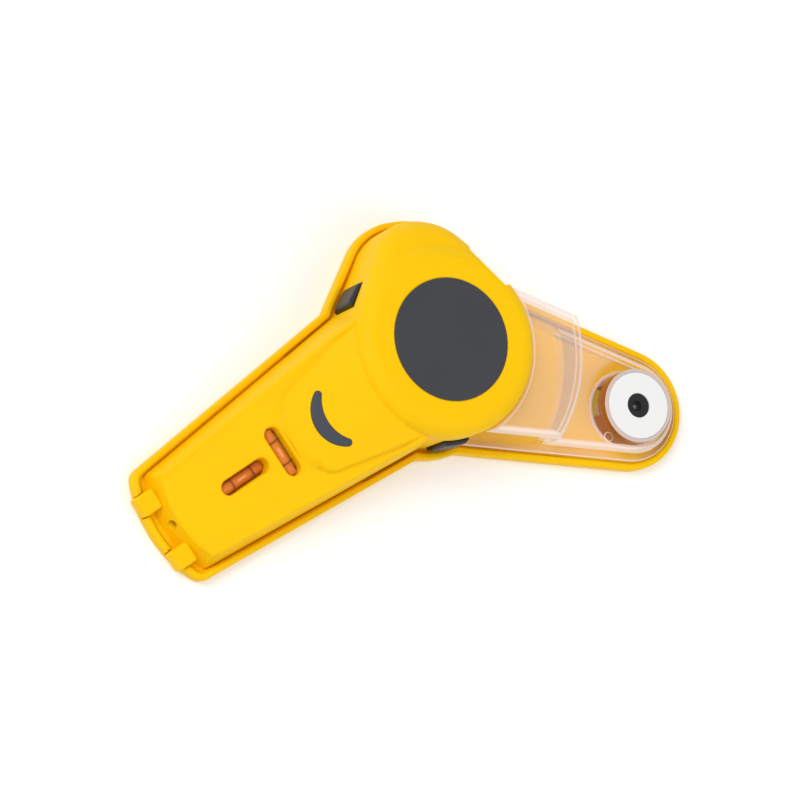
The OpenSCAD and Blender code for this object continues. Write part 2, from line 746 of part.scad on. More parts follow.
module drill_seal() color(rubber_black) at_drill() difference() {
    union() {
        translate([0, 0, ring_low - lip_t]) cylinder(r = ring_hole_r + lip_over, h = lip_t);
        translate([0, 0, ring_low - eps]) cylinder(r = ring_hole_r, h = ring_t / 3);
    }
    translate([0, 0, ring_low - lip_t - 1]) cylinder(r = seal_hole_r, h = drum_top);
}

// Filter behind the drum's window
frame_t = 1.8;
media_t = 1;
frame_in_r = drum_in_r - slip - frame_t;
module filter_frame() color(rubber_black) difference() {
    filter_sector(frame_in_r, frame_in_r + frame_t, filter_low, filter_high, filter_half_angle);
    filter_sector(frame_in_r - 1, drum_in_r + 1, filter_low + 2, filter_high - 2, filter_half_angle - 3);
}
module filter_media() color("#e9e6dc")
    filter_sector(frame_in_r - slip - media_t, frame_in_r - slip, filter_low, filter_high, filter_half_angle);

// Motor and its deck
motor_low = 4;
can_wall = 0.9;
cap_t = 2.4;
bush_r = 3;
bush_len = 2;
motor_screw_r = 1.2;
motor_screw_head = 2;
motor_screw_reach = 8;
spoke_w = 5;
deck_hub_r = motor_r + 0.8;

module motor_deck() color("#3a3b3e") translate([0, 0, deck_z]) difference() {
    cylinder(r = drum_in_r - slip, h = deck_t);
    translate([0, 0, -1]) difference() {
        cylinder(r = eye_r, h = deck_t + 2);
        cylinder(r = deck_hub_r, h = deck_t + 2);
        for (a = [45, 135]) rotate([0, 0, a])
            translate([-eye_r - 1, -spoke_w / 2, 0]) cube([2 * eye_r + 2, spoke_w, deck_t + 2]);
    }
    translate([0, 0, -1]) cylinder(r = bush_r, h = deck_t + 2);
    for (s = [-1, 1]) translate([s * motor_screw_reach, 0, -1]) cylinder(r = motor_screw_r, h = deck_t + 2);
    at_posts() translate([0, 0, -1]) cylinder(r = stack_screw_r + slip, h = deck_t + 2);
}

module motor_can() color(steel) difference() {
    translate([0, 0, motor_low]) cylinder(r = motor_r, h = deck_z - motor_low);
    translate([0, 0, motor_low - 1]) cylinder(r = motor_r - can_wall, h = deck_z - motor_low - can_wall + 1);
    cylinder(r = bush_r, h = drum_top);
    for (s = [-1, 1]) translate([s * motor_screw_reach, 0, motor_low])
        cylinder(r = motor_screw_r, h = drum_top);
}

module motor_cap() color("#f1efe8") translate([0, 0, motor_low]) difference() {
    cylinder(r = motor_r - can_wall, h = cap_t);
    translate([0, 0, -1]) cylinder(r = bush_r, h = cap_t + 2);
    for (s = [-1, 1]) translate([0, s * terminal_y, 0])
        cube([terminal_w, terminal_t, 2 * cap_t + 2], center = true);
}

terminal_y = 6.5;
terminal_w = 2.4;
terminal_t = 0.6;
module motor_terminals() color(brass) for (s = [-1, 1])
    translate([-terminal_w / 2, s * terminal_y - terminal_t / 2, plate_floor + fit])
        cube([terminal_w, terminal_t, motor_low + cap_t - plate_floor - fit]);

magnet_t = 2;
magnet_half = 66;
module motor_magnets() color("#4b4a4d") for (a = [0, 180]) rotate([0, 0, a + 90 - magnet_half])
    rotate_extrude(angle = 2 * magnet_half)
        translate([motor_r - can_wall - slip - magnet_t, motor_low + cap_t + 1])
            square([magnet_t, armature_len + 2]);

bush_at = [motor_low + cap_t - bush_len, deck_z - can_wall];
module motor_bushes() color(brass) for (z = bush_at) translate([0, 0, z])
    difference() {
        cylinder(r = bush_r, h = bush_len);
        translate([0, 0, -1]) cylinder(r = shaft_r + run_fit, h = bush_len + 2);
    }

fan_low = deck_z + deck_t + 1.4;
fan_high = 36.4;
disc_t = 1.2;
hub_r = 4.5;
module motor_shaft() color("#d8dade") translate([0, 0, motor_low + fit])
    cylinder(r = shaft_r, h = fan_high - motor_low - fit);

armature_len = 14;
armature_low = motor_low + cap_t + 2;
armature_teeth = 3;
module motor_armature() color("#b06a3a") translate([0, 0, armature_low]) difference() {
    cylinder(r = motor_r - can_wall - slip - magnet_t - 0.6, h = armature_len);
    translate([0, 0, -1]) cylinder(r = shaft_r, h = armature_len + 2);
    for (k = [0 : armature_teeth - 1]) rotate([0, 0, k * 360 / armature_teeth])
        translate([shaft_r + 2.5, -0.7, -1]) cube([motor_r, 1.4, armature_len + 2]);
}

// Impeller: back disc above backward-curved blades and a hub on the shaft
blade_t = 1;
blade_r = 20;
blade_in = 10;
module blade_plan() intersection() {
    difference() {
        circle(fan_r);
        circle(blade_in);
    }
    translate([fan_r / 2 + 2, blade_r - 5]) difference() {
        circle(blade_r);
        circle(blade_r - blade_t);
    }
    translate([0, -fan_r]) square([fan_r, fan_r]);
}

module impeller() color("#e8e8e6") difference() {
    union() {
        translate([0, 0, fan_high - disc_t]) cylinder(r = fan_r, h = disc_t);
        translate([0, 0, fan_low]) cylinder(r = hub_r, h = fan_high - fan_low);
        translate([0, 0, fan_low]) linear_extrude(fan_high - fan_low - disc_t / 2)
            for (k = [0 : blade_count - 1]) rotate(k * 360 / blade_count) blade_plan();
    }
    translate([0, 0, fan_low - 1]) cylinder(r = shaft_r, h = fan_high);
}

module motor_screws() color(steel) for (s = [-1, 1]) translate([s * motor_screw_reach, 0, deck_z]) {
    translate([0, 0, deck_t]) cylinder(r = motor_screw_head, h = 1);
    translate([0, 0, -can_wall]) cylinder(r = motor_screw_r, h = can_wall + deck_t + eps);
}

// Batteries: three cells side by side, over a door in the back
nub_len = 1.3;
nub_r = 2.6;
cell_gap = 0.3;
cell_count = 3;
cell_pitch = 2 * cell_r + cell_gap;
plate_t = 0.4;
spring_len = 3.4;
bay_start = -cross_x + vial_r + 2 * slip + cradle_wall;
bay_len = 2 * plate_t + spring_len + cell_len + nub_len;
bay_half = (cell_count * cell_pitch + cell_gap) / 2;
door_z = 0.3;
cell_z = door_z + door_t + slip + cell_r;
bay_top = cell_z + cell_r + slip;

function cell_y(k) = (k - (cell_count - 1) / 2) * cell_pitch;
// Neighbouring cells lie head to tail
function cell_turn(k) = k % 2 == 0 ? 0 : 180;
bay_mid = bay_start + bay_len / 2;

module at_cells() for (k = [0 : cell_count - 1]) translate([bay_mid, cell_y(k), cell_z])
    rotate([0, 0, cell_turn(k)]) translate([-bay_len / 2, 0, 0]) children();

module door_opening() translate([bay_start, -bay_half, -eps]) cube([bay_len, 2 * bay_half, plate_floor + 1]);

module battery_cradle() color("#2c2d30") translate([bay_start, 0, plate_floor]) difference() {
    translate([-cradle_wall, -bay_half - cradle_wall, 0])
        cube([bay_len + 2 * cradle_wall, 2 * (bay_half + cradle_wall), bay_top + cradle_wall - plate_floor]);
    translate([0, -bay_half, -1]) cube([bay_len, 2 * bay_half, bay_top - plate_floor + 1]);
}

module battery_cells() color("#c8823a") at_cells() translate([plate_t + spring_len, 0, 0]) rotate([0, 90, 0]) {
    cylinder(r = cell_r, h = cell_len);
    translate([0, 0, cell_len - eps]) cylinder(r = nub_r, h = nub_len + eps);
}

contact_h = 9;
module contact(x) translate([x, -contact_h / 2, -contact_h / 2]) cube([plate_t, contact_h, contact_h]);
module battery_plates() color(steel) at_cells() {
    contact(0);
    contact(bay_len - plate_t);
}
contact_coil_r = 2.6;
contact_wire_r = 0.4;
module battery_springs() color(steel) at_cells() translate([plate_t, 0, 0])
    coil(contact_coil_r, contact_wire_r, 3, spring_len);

module battery_door() color(yellow) translate([bay_start + slip, -bay_half + slip, door_z])
    cube([bay_len - 2 * slip, 2 * (bay_half - slip), door_t]);

// Circuit board in the lobe, on two pins of the plate
chip_size = [7, 5, 2];
capacitor_r = 2;
capacitor_h = 5;
module circuit_board() color(board_green) difference() {
    union() {
        translate([board_at[0], board_at[1], board_z + board_size[2] / 2]) cube(board_size, center = true);
        translate([board_at[0], board_at[1] + chip_size[2], board_z + board_size[2] + chip_size[2] / 2 - eps])
            cube(chip_size, center = true);
        for (s = [-1, 1]) translate([board_at[0] + s * chip_size[0], board_at[1] + 2 * capacitor_r,
                                     board_z + board_size[2] - eps])
            cylinder(r = capacitor_r, h = capacitor_h);
    }
    for (p = board_pins) translate([p[0], p[1], 0]) cylinder(r = board_pin_r, h = drum_top);
}

// Laser behind the outlet at the handle's end
laser_back = 4;
laser_front = -cover_reach + seam_in + wall + laser_back;
lens_t = 1.5;
lens_wall = 0.7;
saddle_t = 8;
module at_laser() translate([laser_front, 0, laser_z]) rotate([0, 90, 0]) children();
module laser_saddle() difference() {
    translate([laser_front + (laser_len - saddle_t) / 2, -laser_r - 1, 0])
        cube([saddle_t, 2 * laser_r + 2, laser_z]);
    at_laser() cylinder(r = laser_r, h = laser_len);
}
module laser_barrel() color(brass) at_laser() difference() {
    cylinder(r = laser_r, h = laser_len);
    translate([0, 0, -eps]) cylinder(r = laser_r - lens_wall, h = lens_t + eps);
}
module laser_lens() color("#cfe3ee") at_laser() cylinder(r = laser_r - lens_wall, h = lens_t);

// Screws that close the case from the back
module stack_screws() color(steel) at_posts() {
    translate([0, 0, screw_sink]) cylinder(r = stack_head_r, h = stack_head_t);
    translate([0, 0, screw_sink + stack_head_t - eps])
        cylinder(r = stack_screw_r, h = drum_top - 4 * wall - screw_sink - stack_head_t - fit);
}
module handle_screws() color(steel) for (p = handle_screw_at) translate([p[0], p[1], 0]) {
    translate([0, 0, screw_sink - 0.4]) cylinder(r = handle_head_r, h = 0.4);
    translate([0, 0, screw_sink - eps]) cylinder(r = handle_screw_r, h = handle_screw_len);
}

wall_plate();
wall_seal();
grip_pads();
main_cover();
label_disc();
thumb_inlay();
axial_vial();
axial_fluid();
cross_vial();
cross_fluid();
vial_cradle();
fan_button();
laser_button();
fan_button_spring();
laser_button_spring();
fan_switch();
laser_switch();
dust_box();
guide_ring();
drill_seal();
filter_frame();
filter_media();
motor_deck();
motor_can();
motor_cap();
motor_terminals();
motor_magnets();
motor_bushes();
motor_shaft();
motor_armature();
impeller();
motor_screws();
battery_cradle();
battery_cells();
battery_springs();
battery_plates();
battery_door();
circuit_board();
laser_barrel();
laser_lens();
stack_screws();
handle_screws();
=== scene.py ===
"""Looks of a hand-held drill dust collector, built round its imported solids.

All sizes in this file are millimetres in the part's own frame: the fan axis stands at the origin,
the handle lies towards -X, +Z points away from the wall. Meshes are written in metres.
"""

from __future__ import annotations

import json
import logging
from dataclasses import dataclass, replace
from enum import Enum
from typing import Callable, Sequence

import bmesh
import bpy
import numpy as np
from mathutils import Matrix, Vector

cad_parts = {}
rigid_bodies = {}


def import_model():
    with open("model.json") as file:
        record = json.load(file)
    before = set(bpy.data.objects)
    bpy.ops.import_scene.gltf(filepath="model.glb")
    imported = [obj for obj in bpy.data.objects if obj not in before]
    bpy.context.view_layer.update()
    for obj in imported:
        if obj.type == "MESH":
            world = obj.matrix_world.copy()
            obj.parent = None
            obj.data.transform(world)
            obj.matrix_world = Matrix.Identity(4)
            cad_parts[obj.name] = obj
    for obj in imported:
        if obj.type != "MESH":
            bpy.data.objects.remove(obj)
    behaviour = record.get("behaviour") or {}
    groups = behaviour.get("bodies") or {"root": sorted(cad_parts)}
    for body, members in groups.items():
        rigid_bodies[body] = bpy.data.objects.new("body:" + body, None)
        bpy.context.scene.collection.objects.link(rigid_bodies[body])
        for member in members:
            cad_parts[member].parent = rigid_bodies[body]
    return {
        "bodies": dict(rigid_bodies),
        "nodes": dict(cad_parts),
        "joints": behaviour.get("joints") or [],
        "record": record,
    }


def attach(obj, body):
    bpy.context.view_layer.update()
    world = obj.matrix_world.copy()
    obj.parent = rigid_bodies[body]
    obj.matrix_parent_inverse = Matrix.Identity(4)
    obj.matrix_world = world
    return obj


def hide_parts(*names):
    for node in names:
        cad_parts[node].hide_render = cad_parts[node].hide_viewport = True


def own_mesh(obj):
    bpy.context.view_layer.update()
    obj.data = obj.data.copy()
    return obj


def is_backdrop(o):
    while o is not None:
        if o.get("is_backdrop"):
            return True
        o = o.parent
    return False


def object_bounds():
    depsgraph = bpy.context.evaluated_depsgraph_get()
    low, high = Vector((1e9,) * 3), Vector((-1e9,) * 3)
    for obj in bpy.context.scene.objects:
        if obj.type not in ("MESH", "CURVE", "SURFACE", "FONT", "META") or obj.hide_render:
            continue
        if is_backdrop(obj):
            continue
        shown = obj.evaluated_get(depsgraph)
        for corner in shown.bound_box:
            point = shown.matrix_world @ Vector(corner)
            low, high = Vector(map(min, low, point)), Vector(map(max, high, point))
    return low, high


LOG = logging.getLogger("dust_collector")
MM = 0.001
TAU = 2.0 * np.pi
# Steps round an outline: rays from which even steps are picked, and tangents that bound it
FINE_RAYS = 4000
TANGENTS = 2160
# Finishes: a clear coat's roughness, how far light wanders below a skin in millimetres and which
# share of it by red, green and blue, and how many grains make one broad patch of tone
COAT_ROUGHNESS = 0.08
WANDER = 1.5
WANDER_SHARES = (1.0, 0.45, 0.1)
BROAD_GRAINS = 24.0
Array = np.ndarray


# Small helpers for colours, shapes and meshes


def linear(hex_code: str) -> tuple[float, float, float, float]:
    """Turns an sRGB hex colour into linear light.

    Args:
        hex_code: colour such as "#FFCC00".

    Returns:
        Red, green, blue and an alpha of 1.
    """
    srgb = np.array([int(hex_code[k : k + 2], 16) for k in (1, 3, 5)]) / 255.0
    low, high = srgb / 12.92, ((srgb + 0.055) / 1.055) ** 2.4
    red, green, blue = np.where(srgb <= 0.04045, low, high)
    return float(red), float(green), float(blue), 1.0


def heading(degrees: float) -> Array:
    """Gives the unit vector in the plan at an angle from +X."""
    return np.array([np.cos(np.radians(degrees)), np.sin(np.radians(degrees))])


def soft_max(a: Array, b: Array, reach: float | Array) -> Array:
    """Blends two heights into their larger one, with a fillet where they differ by less than reach.

    Formula: the larger height, plus reach/4 times the square of (1 - gap/reach), never below zero.

    Args:
        a: first heights.
        b: second heights.
        reach: difference of height over which the two flow together.

    Returns:
        The blended heights.
    """
    reach = np.maximum(reach, 0.01)
    near = np.maximum(0.0, 1.0 - np.abs(a - b) / reach)
    return np.maximum(a, b) + 0.25 * reach * near**2


def soft_min(a: Array, b: Array, reach: float | Array) -> Array:
    """Blends two heights into their smaller one, rounded off over reach."""
    return -soft_max(-a, -b, reach)


def quarter(count: int) -> Array:
    """Gives evenly spaced turns of a quarter circle, in radians, from 0 to a right angle."""
    return np.linspace(0.0, np.pi / 2, count)


class Skin:
    """Points and faces of one mesh, gathered grid by grid before the mesh is made."""

    def __init__(self) -> None:
        """Starts with no points and no faces."""
        self.points: list[Array] = []
        self.faces: list[Array] = []
        self.total = 0

    def grid(self, points: Array, wrap_rows: bool = False, wrap_columns: bool = False) -> Array:
        """Adds a grid of points and a quad for each cell.

        Args:
            points: array of rows by columns by 3.
            wrap_rows: joins the last row to the first.
            wrap_columns: joins the last column to the first.

        Returns:
            The points' numbers, as an array of rows by columns.
        """
        rows, columns = points.shape[:2]
        index = self.total + np.arange(rows * columns).reshape(rows, columns)
        self.points.append(points.reshape(-1, 3))
        self.total += rows * columns
        loop = index
        if wrap_rows:
            loop = np.vstack([loop, loop[:1]])
        if wrap_columns:
            loop = np.hstack([loop, loop[:, :1]])
        cells = np.stack([loop[:-1, :-1], loop[:-1, 1:], loop[1:, 1:], loop[1:, :-1]], axis=-1)
        self.faces.append(cells.reshape(-1, 4))
        return index

    def fan(self, ring: Array, tip: Sequence[float]) -> None:
        """Closes a ring of points with triangles to one tip.

        Args:
            ring: the numbers of the ring's points, in order.
            tip: the place of the tip.
        """
        self.points.append(np.array([tip], float))
        ends = np.roll(ring, -1)
        self.faces.append(np.stack([ring, ends, np.full_like(ring, self.total)], axis=-1))
        self.total += 1

    def build(self, name: str) -> bpy.types.Object:
        """Makes the mesh object, welds its doubles and turns its faces outwards.

        Args:
            name: the object's name.

        Returns:
            The new object, at the origin.
        """
        mesh = bpy.data.meshes.new(name)
        points = np.concatenate(self.points) * MM
        mesh.from_pydata(points.tolist(), [], [row for part in self.faces for row in part.tolist()])
        piece = bpy.data.objects.new(name, mesh)
        bpy.context.scene.collection.objects.link(piece)
        clean(piece)
        return piece


def clean(piece: bpy.types.Object, weld: float = 1e-6) -> None:
    """Welds doubled points, drops faces without area and turns faces outwards.

    Args:
        piece: the mesh object.
        weld: distance in metres below which two points become one.
    """
    work = bmesh.new()
    work.from_mesh(piece.data)
    bmesh.ops.remove_doubles(work, verts=work.verts, dist=weld)
    bmesh.ops.dissolve_degenerate(work, edges=work.edges, dist=weld)
    bmesh.ops.recalc_face_normals(work, faces=work.faces)
    work.to_mesh(piece.data)
    work.free()


class Join(Enum):
    """The ways in which one solid is worked into another."""

    ADD = "UNION"
    CUT = "DIFFERENCE"
    KEEP = "INTERSECT"


def work_in(body: bpy.types.Object, tool: bpy.types.Object, how: Join) -> None:
    """Adds, cuts or keeps a solid in another, and removes the tool.

    Args:
        body: the solid that stays.
        tool: the solid that is used up.
        how: what is done.
    """
    modifier = body.modifiers.new("work", "BOOLEAN")
    modifier.operation = how.value
    modifier.solver = "MANIFOLD"
    modifier.object = tool
    settle(body)
    spent = tool.data
    bpy.data.objects.remove(tool)
    bpy.data.meshes.remove(spent)


def settle(piece: bpy.types.Object) -> None:
    """Makes the modifiers' result the object's own mesh.

    Args:
        piece: the mesh object.
    """
    graph = bpy.context.evaluated_depsgraph_get()
    mesh = bpy.data.meshes.new_from_object(piece.evaluated_get(graph))
    old, piece.data = piece.data, mesh
    piece.modifiers.clear()
    mesh.name = piece.name
    bpy.data.meshes.remove(old)


def shade(piece: bpy.types.Object, angle: float = 32.0) -> bpy.types.Object:
    """Shades a piece smooth, keeps edges sharper than angle, and weighs its normals by face area.

    Args:
        piece: the mesh object.
        angle: least angle in degrees between faces at which an edge stays sharp.

    Returns:
        The same object.
    """
    piece.data.shade_smooth()
    piece.data.set_sharp_from_angle(angle=np.radians(angle))
    modifier = piece.modifiers.new("even_normals", "WEIGHTED_NORMAL")
    modifier.keep_sharp = True
    modifier.weight = 60
    return piece


def node_copy(frame: dict, node: str, name: str) -> bpy.types.Object:
    """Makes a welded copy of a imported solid.

    Args:
        node: the solid's node.
        name: the copy's name.

    Returns:
        The copy, at the origin and on no body.
    """
    piece = bpy.data.objects.new(name, frame["nodes"][node].data.copy())
    piece.data.materials.clear()
    bpy.context.scene.collection.objects.link(piece)
    clean(piece)
    return piece


# Finishes


class Grain(Enum):
    """How a surface was made: its pattern's stretch along Y, and how fine it breaks up."""

    MOULDED = (1.0, 4.0)
    BRUSHED = (12.0, 3.0)
    FELTED = (1.0, 8.0)
    FILM = (1.0, 6.0)
    CLEAR = (1.0, 1.0)


@dataclass(frozen=True)
class Finish:
    """One real material: its colours, its gloss and the size of its surface pattern.

    The second colour is where the pattern is deepest. Grain is the pattern's size in millimetres,
    gloss how strongly the surface mirrors, and depth the share of light that wanders below it.
    Spot is the middle and the radius, in millimetres, of a polished patch where a clear piece
    hardly shows.
    """

    name: str
    colour: str
    second: str
    roughness: float
    grain: float = 0.8
    bump: float = 0.1
    made: Grain = Grain.MOULDED
    metallic: float = 0.0
    ior: float = 1.5
    coat: float = 0.0
    alpha: float = 1.0
    gloss: float = 0.5
    depth: float = 0.0
    spot: tuple[float, float, float] | None = None

    def material(self) -> bpy.types.Material:
        """Makes the material once and gives it back at each later call."""
        found = bpy.data.materials.get(self.name)
        return found or self._make()

    def _make(self) -> bpy.types.Material:
        """Builds the shader: two close colours, roughness and bump all follow one pattern of noise.

        Returns:
            The new material.
        """
        material = bpy.data.materials.new(self.name)
        material.use_nodes = True
        tree = material.node_tree
        shader = tree.nodes["Principled BSDF"]
        values = {
            "Metallic": self.metallic,
            "IOR": self.ior,
            "Coat Weight": self.coat,
            "Coat Roughness": COAT_ROUGHNESS,
            "Specular IOR Level": self.gloss,
            "Subsurface Weight": self.depth,
            "Subsurface Radius": WANDER_SHARES,
            "Subsurface Scale": WANDER * MM,
            "Alpha": self.alpha,
        }
        for key, value in values.items():
            shader.inputs[key].default_value = value
        place = add_node(tree, "ShaderNodeTexCoord").outputs["Object"]
        stretch, detail = self.made.value
        drawn = {"Scale": (1.0, stretch, 1.0)}
        mapped = add_node(tree, "ShaderNodeMapping", drawn, {"Vector": place}).outputs["Vector"]
        cells = 1.0 / (self.grain * MM)
        fine, broad = [
            add_node(tree, "ShaderNodeTexNoise", settings, {"Vector": mapped}).outputs["Fac"]
            for settings in (
                {"Scale": cells, "Detail": detail, "Roughness": 0.6},
                {"Scale": cells / BROAD_GRAINS, "Detail": 2.0},
            )
        ]
        blend = add_node(
            tree,
            "ShaderNodeMix",
            {"data_type": "RGBA", 6: linear(self.colour), 7: linear(self.second)},
            {0: broad},
        )
        gloss = add_node(
            tree,
            "ShaderNodeMapRange",
            {"To Min": 0.8 * self.roughness, "To Max": min(1.0, 1.25 * self.roughness)},
            {"Value": fine},
        )
        raised = add_node(
            tree,
            "ShaderNodeBump",
            {"Strength": self.bump, "Distance": 0.1 * self.grain * MM},
            {"Height": fine},
        )
        tree.links.new(blend.outputs[2], shader.inputs["Base Color"])
        tree.links.new(gloss.outputs["Result"], shader.inputs["Roughness"])
        tree.links.new(raised.outputs["Normal"], shader.inputs["Normal"])
        if self.spot:
            self._polish(tree, shader, place)
        if self.alpha < 1.0:
            self._pass_light(tree, shader)
        return material

    def _polish(
        self, tree: bpy.types.NodeTree, shader: bpy.types.Node, place: bpy.types.NodeSocket
    ) -> None:
        """Makes a clear piece fainter within its spot.

        Formula: by the distance from the spot's middle in plan, alpha rises from a small share of
        its full value, at the spot's radius, to the full value a few millimetres further out.

        Args:
            tree: the material's nodes.
            shader: its surface shader.
            place: the Object coordinates.
        """
        x, y, radius = self.spot
        plan = add_node(
            tree,
            "ShaderNodeMapping",
            {"Location": (-x * MM, -y * MM, 0.0), "Scale": (1.0, 1.0, 0.0)},
            {"Vector": place},
        )
        plain = {0: plan.outputs["Vector"]}
        far = add_node(tree, "ShaderNodeVectorMath", {"operation": "LENGTH"}, plain)
        rim, least = 3.0, 0.15
        reach = {"From Min": radius * MM, "From Max": (radius + rim) * MM}
        share = {"To Min": least * self.alpha, "To Max": self.alpha}
        rise = add_node(tree, "ShaderNodeMapRange", reach | share, {"Value": far.outputs["Value"]})
        tree.links.new(rise.outputs["Result"], shader.inputs["Alpha"])

    def _pass_light(self, tree: bpy.types.NodeTree, shader: bpy.types.Node) -> None:
        """Lets the lamps' light through a clear piece, which then casts no shadow.

        Args:
            tree: the material's nodes.
            shader: its surface shader.
        """
        through = add_node(tree, "ShaderNodeBsdfTransparent", {"Color": linear("#FFFFFF")})
        shadow = add_node(tree, "ShaderNodeLightPath").outputs["Is Shadow Ray"]
        parts = {0: shadow, 1: shader.outputs[0], 2: through.outputs[0]}
        mixed = add_node(tree, "ShaderNodeMixShader", None, parts)
        tree.links.new(mixed.outputs[0], tree.nodes["Material Output"].inputs["Surface"])


def add_node(
    tree: bpy.types.NodeTree,
    kind: str,
    settings: dict[str | int, object] | None = None,
    links: dict[str | int, bpy.types.NodeSocket] | None = None,
) -> bpy.types.Node:
    """Adds one node with its settings and its incoming links.

    Args:
        tree: the material's node tree.
        kind: the node's type.
        settings: values for the node's own properties or for its input sockets.
        links: output sockets by the name or number of the input that they feed.

    Returns:
        The new node.
    """
    node = tree.nodes.new(kind)
    for key, value in (settings or {}).items():
        if isinstance(key, str) and hasattr(node, key):
            setattr(node, key, value)
        else:
            node.inputs[key].default_value = value
    for key, socket in (links or {}).items():
        tree.links.new(socket, node.inputs[key])
    return node


# ABS, injection moulded and satin: an even strong yellow with a soft sheen and a faint spark grain
YELLOW_ABS = Finish(
    "abs_yellow_moulded", "#FFCB00", "#FFC700", 0.5, 1.2, 0.06, gloss=0.12, depth=0.12
)
# Polyester label film: a flat slate grey with a slight emboss
LABEL_FILM = Finish(
    "polyester_label_slate", "#3F4145", "#393B3F", 0.5, 0.6, 0.12, Grain.FILM, gloss=0.35
)
# Soft-touch elastomer of the thumb inlay: dull blue-grey
INLAY_RUBBER = Finish("elastomer_slate", "#474B54", "#41454D", 0.6, 0.7, 0.2, gloss=0.3)
# Nylon push buttons: near black, with a dull shine on their edges
BUTTON_NYLON = Finish("nylon_charcoal", "#1F2022", "#191A1C", 0.42, 0.7, 0.12, gloss=0.4)
# Polystyrene from a polished mould: broad faces are nearly invisible and tint what lies below peach
CLEAR_FACE = Finish(
    "polystyrene_clear_face", "#FFE6D8", "#FFE0CF", 0.08, 6.0, 0.02, Grain.CLEAR, alpha=0.17
)
# The same polystyrene at its upright walls, fainter and warmer in colour so that it paints out the
# grey shade they would show between their bright edges
CLEAR_THIN = Finish(
    "polystyrene_clear_thin", "#FFDDBE", "#FFD6B2", 0.08, 6.0, 0.02, Grain.CLEAR, alpha=0.11
)
# The same polystyrene at its rounded edges: nearly opaque pinkish white, a painted highlight along
# each edge
CLEAR_EDGE_HIGHLIGHT = Finish(
    "polystyrene_clear_edge", "#FFF1EA", "#FFEBE1", 0.1, 6.0, 0.02, Grain.CLEAR, alpha=0.66
)
# Polystyrene tube wall, painted amber brown: painted shade inside the tube and the yellow round it
# seen through its clear wall
TUBE_PAINTED_SHADE = Finish(
    "polystyrene_tube_amber", "#B05E24", "#8A4016", 0.18, 0.5, 0.05, Grain.CLEAR, coat=0.3
)
# Moulded polypropylene of guide ring, impeller and motor cap: an even white with a satin sheen
WHITE_PP = Finish("polypropylene_white", "#F6F6F5", "#F1F1F0", 0.42, 1.0, 0.06, gloss=0.3)
# Moulded rubber of the drill seal and pads: dull black with a fine matt grain
BLACK_RUBBER = Finish("rubber_black", "#2A2A2C", "#1F1F21", 0.7, 0.6, 0.3, gloss=0.3)
# Closed-cell foam of the wall seal: dull black with open pores at its cut skin
BLACK_FOAM = Finish("foam_black", "#2A2A2C", "#141415", 0.95, 0.7, 0.8, Grain.FELTED, gloss=0.1)
# Acrylic vial, polished and clear; its faint warm tint is a painted glint over the spirit
VIAL_ACRYLIC = Finish(
    "acrylic_vial_clear", "#FFB466", "#FFAA55", 0.06, 4.0, 0.01, Grain.CLEAR, alpha=0.14
)
# Spirit in the vial: amber, glowing where light comes through it
AMBER_SPIRIT = Finish("spirit_amber", "#DE7E1E", "#D27014", 0.2, 5.0, 0.01, Grain.CLEAR, gloss=0.3)
# The bubble: pale, a painted highlight for the light that passes over the spirit
BUBBLE = Finish("spirit_bubble", "#F2B26C", "#EDA65C", 0.15, 3.0, 0.01, Grain.CLEAR, gloss=0.4)
# Screen ink of the vials' rings: thin dull brown lines
MARKER_INK = Finish("ink_brown_black", "#8A4714", "#7A3D10", 0.5, 0.5, 0.05, Grain.FILM)
# ABS of the inner carriers, moulded black with a dull even skin
BLACK_ABS = Finish("abs_black_moulded", "#232427", "#1B1C1F", 0.5, 1.0, 0.12)
# Needled polyester felt: off-white, matt, with loose fibres that catch the light
FELT = Finish("felt_filter", "#E6E2D6", "#D6D1C2", 0.95, 0.5, 0.8, Grain.FELTED)
# Steel with a zinc plate, drawn: cool grey with a soft streaky shine
PLATED_STEEL = Finish("steel_zinc_plated", "#B9BCC2", "#A9ADB4", 0.32, 0.5, 0.1, Grain.BRUSHED, 1.0)
# Drawn spring wire: bright grey, streaked along the wire
SPRING_STEEL = Finish("steel_spring", "#A7AAB0", "#999CA3", 0.25, 0.4, 0.05, Grain.BRUSHED, 1.0)
# Turned brass: warm yellow shine with fine turning lines
BRASS = Finish("brass_turned", "#C9A24A", "#BC9540", 0.28, 0.4, 0.08, Grain.BRUSHED, 1.0)
# Sintered ferrite: dark grey and dull, slightly rough
FERRITE = Finish("ferrite_sintered", "#4B4A4D", "#403F42", 0.6, 0.4, 0.3)
# Enamelled copper wire, wound: red-brown shine broken up by the turns
COPPER = Finish("copper_lacquered", "#B0653A", "#9C552E", 0.3, 0.5, 0.4, Grain.BRUSHED, 1.0)
# Shrunk foil sleeve of the cells: bronze, half metallic and smooth
CELL_FOIL = Finish("cell_sleeve_bronze", "#B9763A", "#A9692F", 0.35, 1.5, 0.05, Grain.FILM, 0.4)
# Glass laminate under green solder mask: flat green with a thin clear gloss
BOARD = Finish("fr4_green_mask", "#2F6B3A", "#275B31", 0.4, 0.8, 0.1, Grain.FILM, coat=0.3)
# Ground glass lens: clear, faintly blue, with a sharp glint
LENS = Finish("glass_lens", "#CFE3EE", "#C4DAE7", 0.03, 2.0, 0.0, Grain.CLEAR, alpha=0.35)
# Backdrop paper: matt and white
PAPER = Finish("paper_white", "#FCFCFC", "#FAFAFA", 0.9, 20.0, 0.0, gloss=0.1)

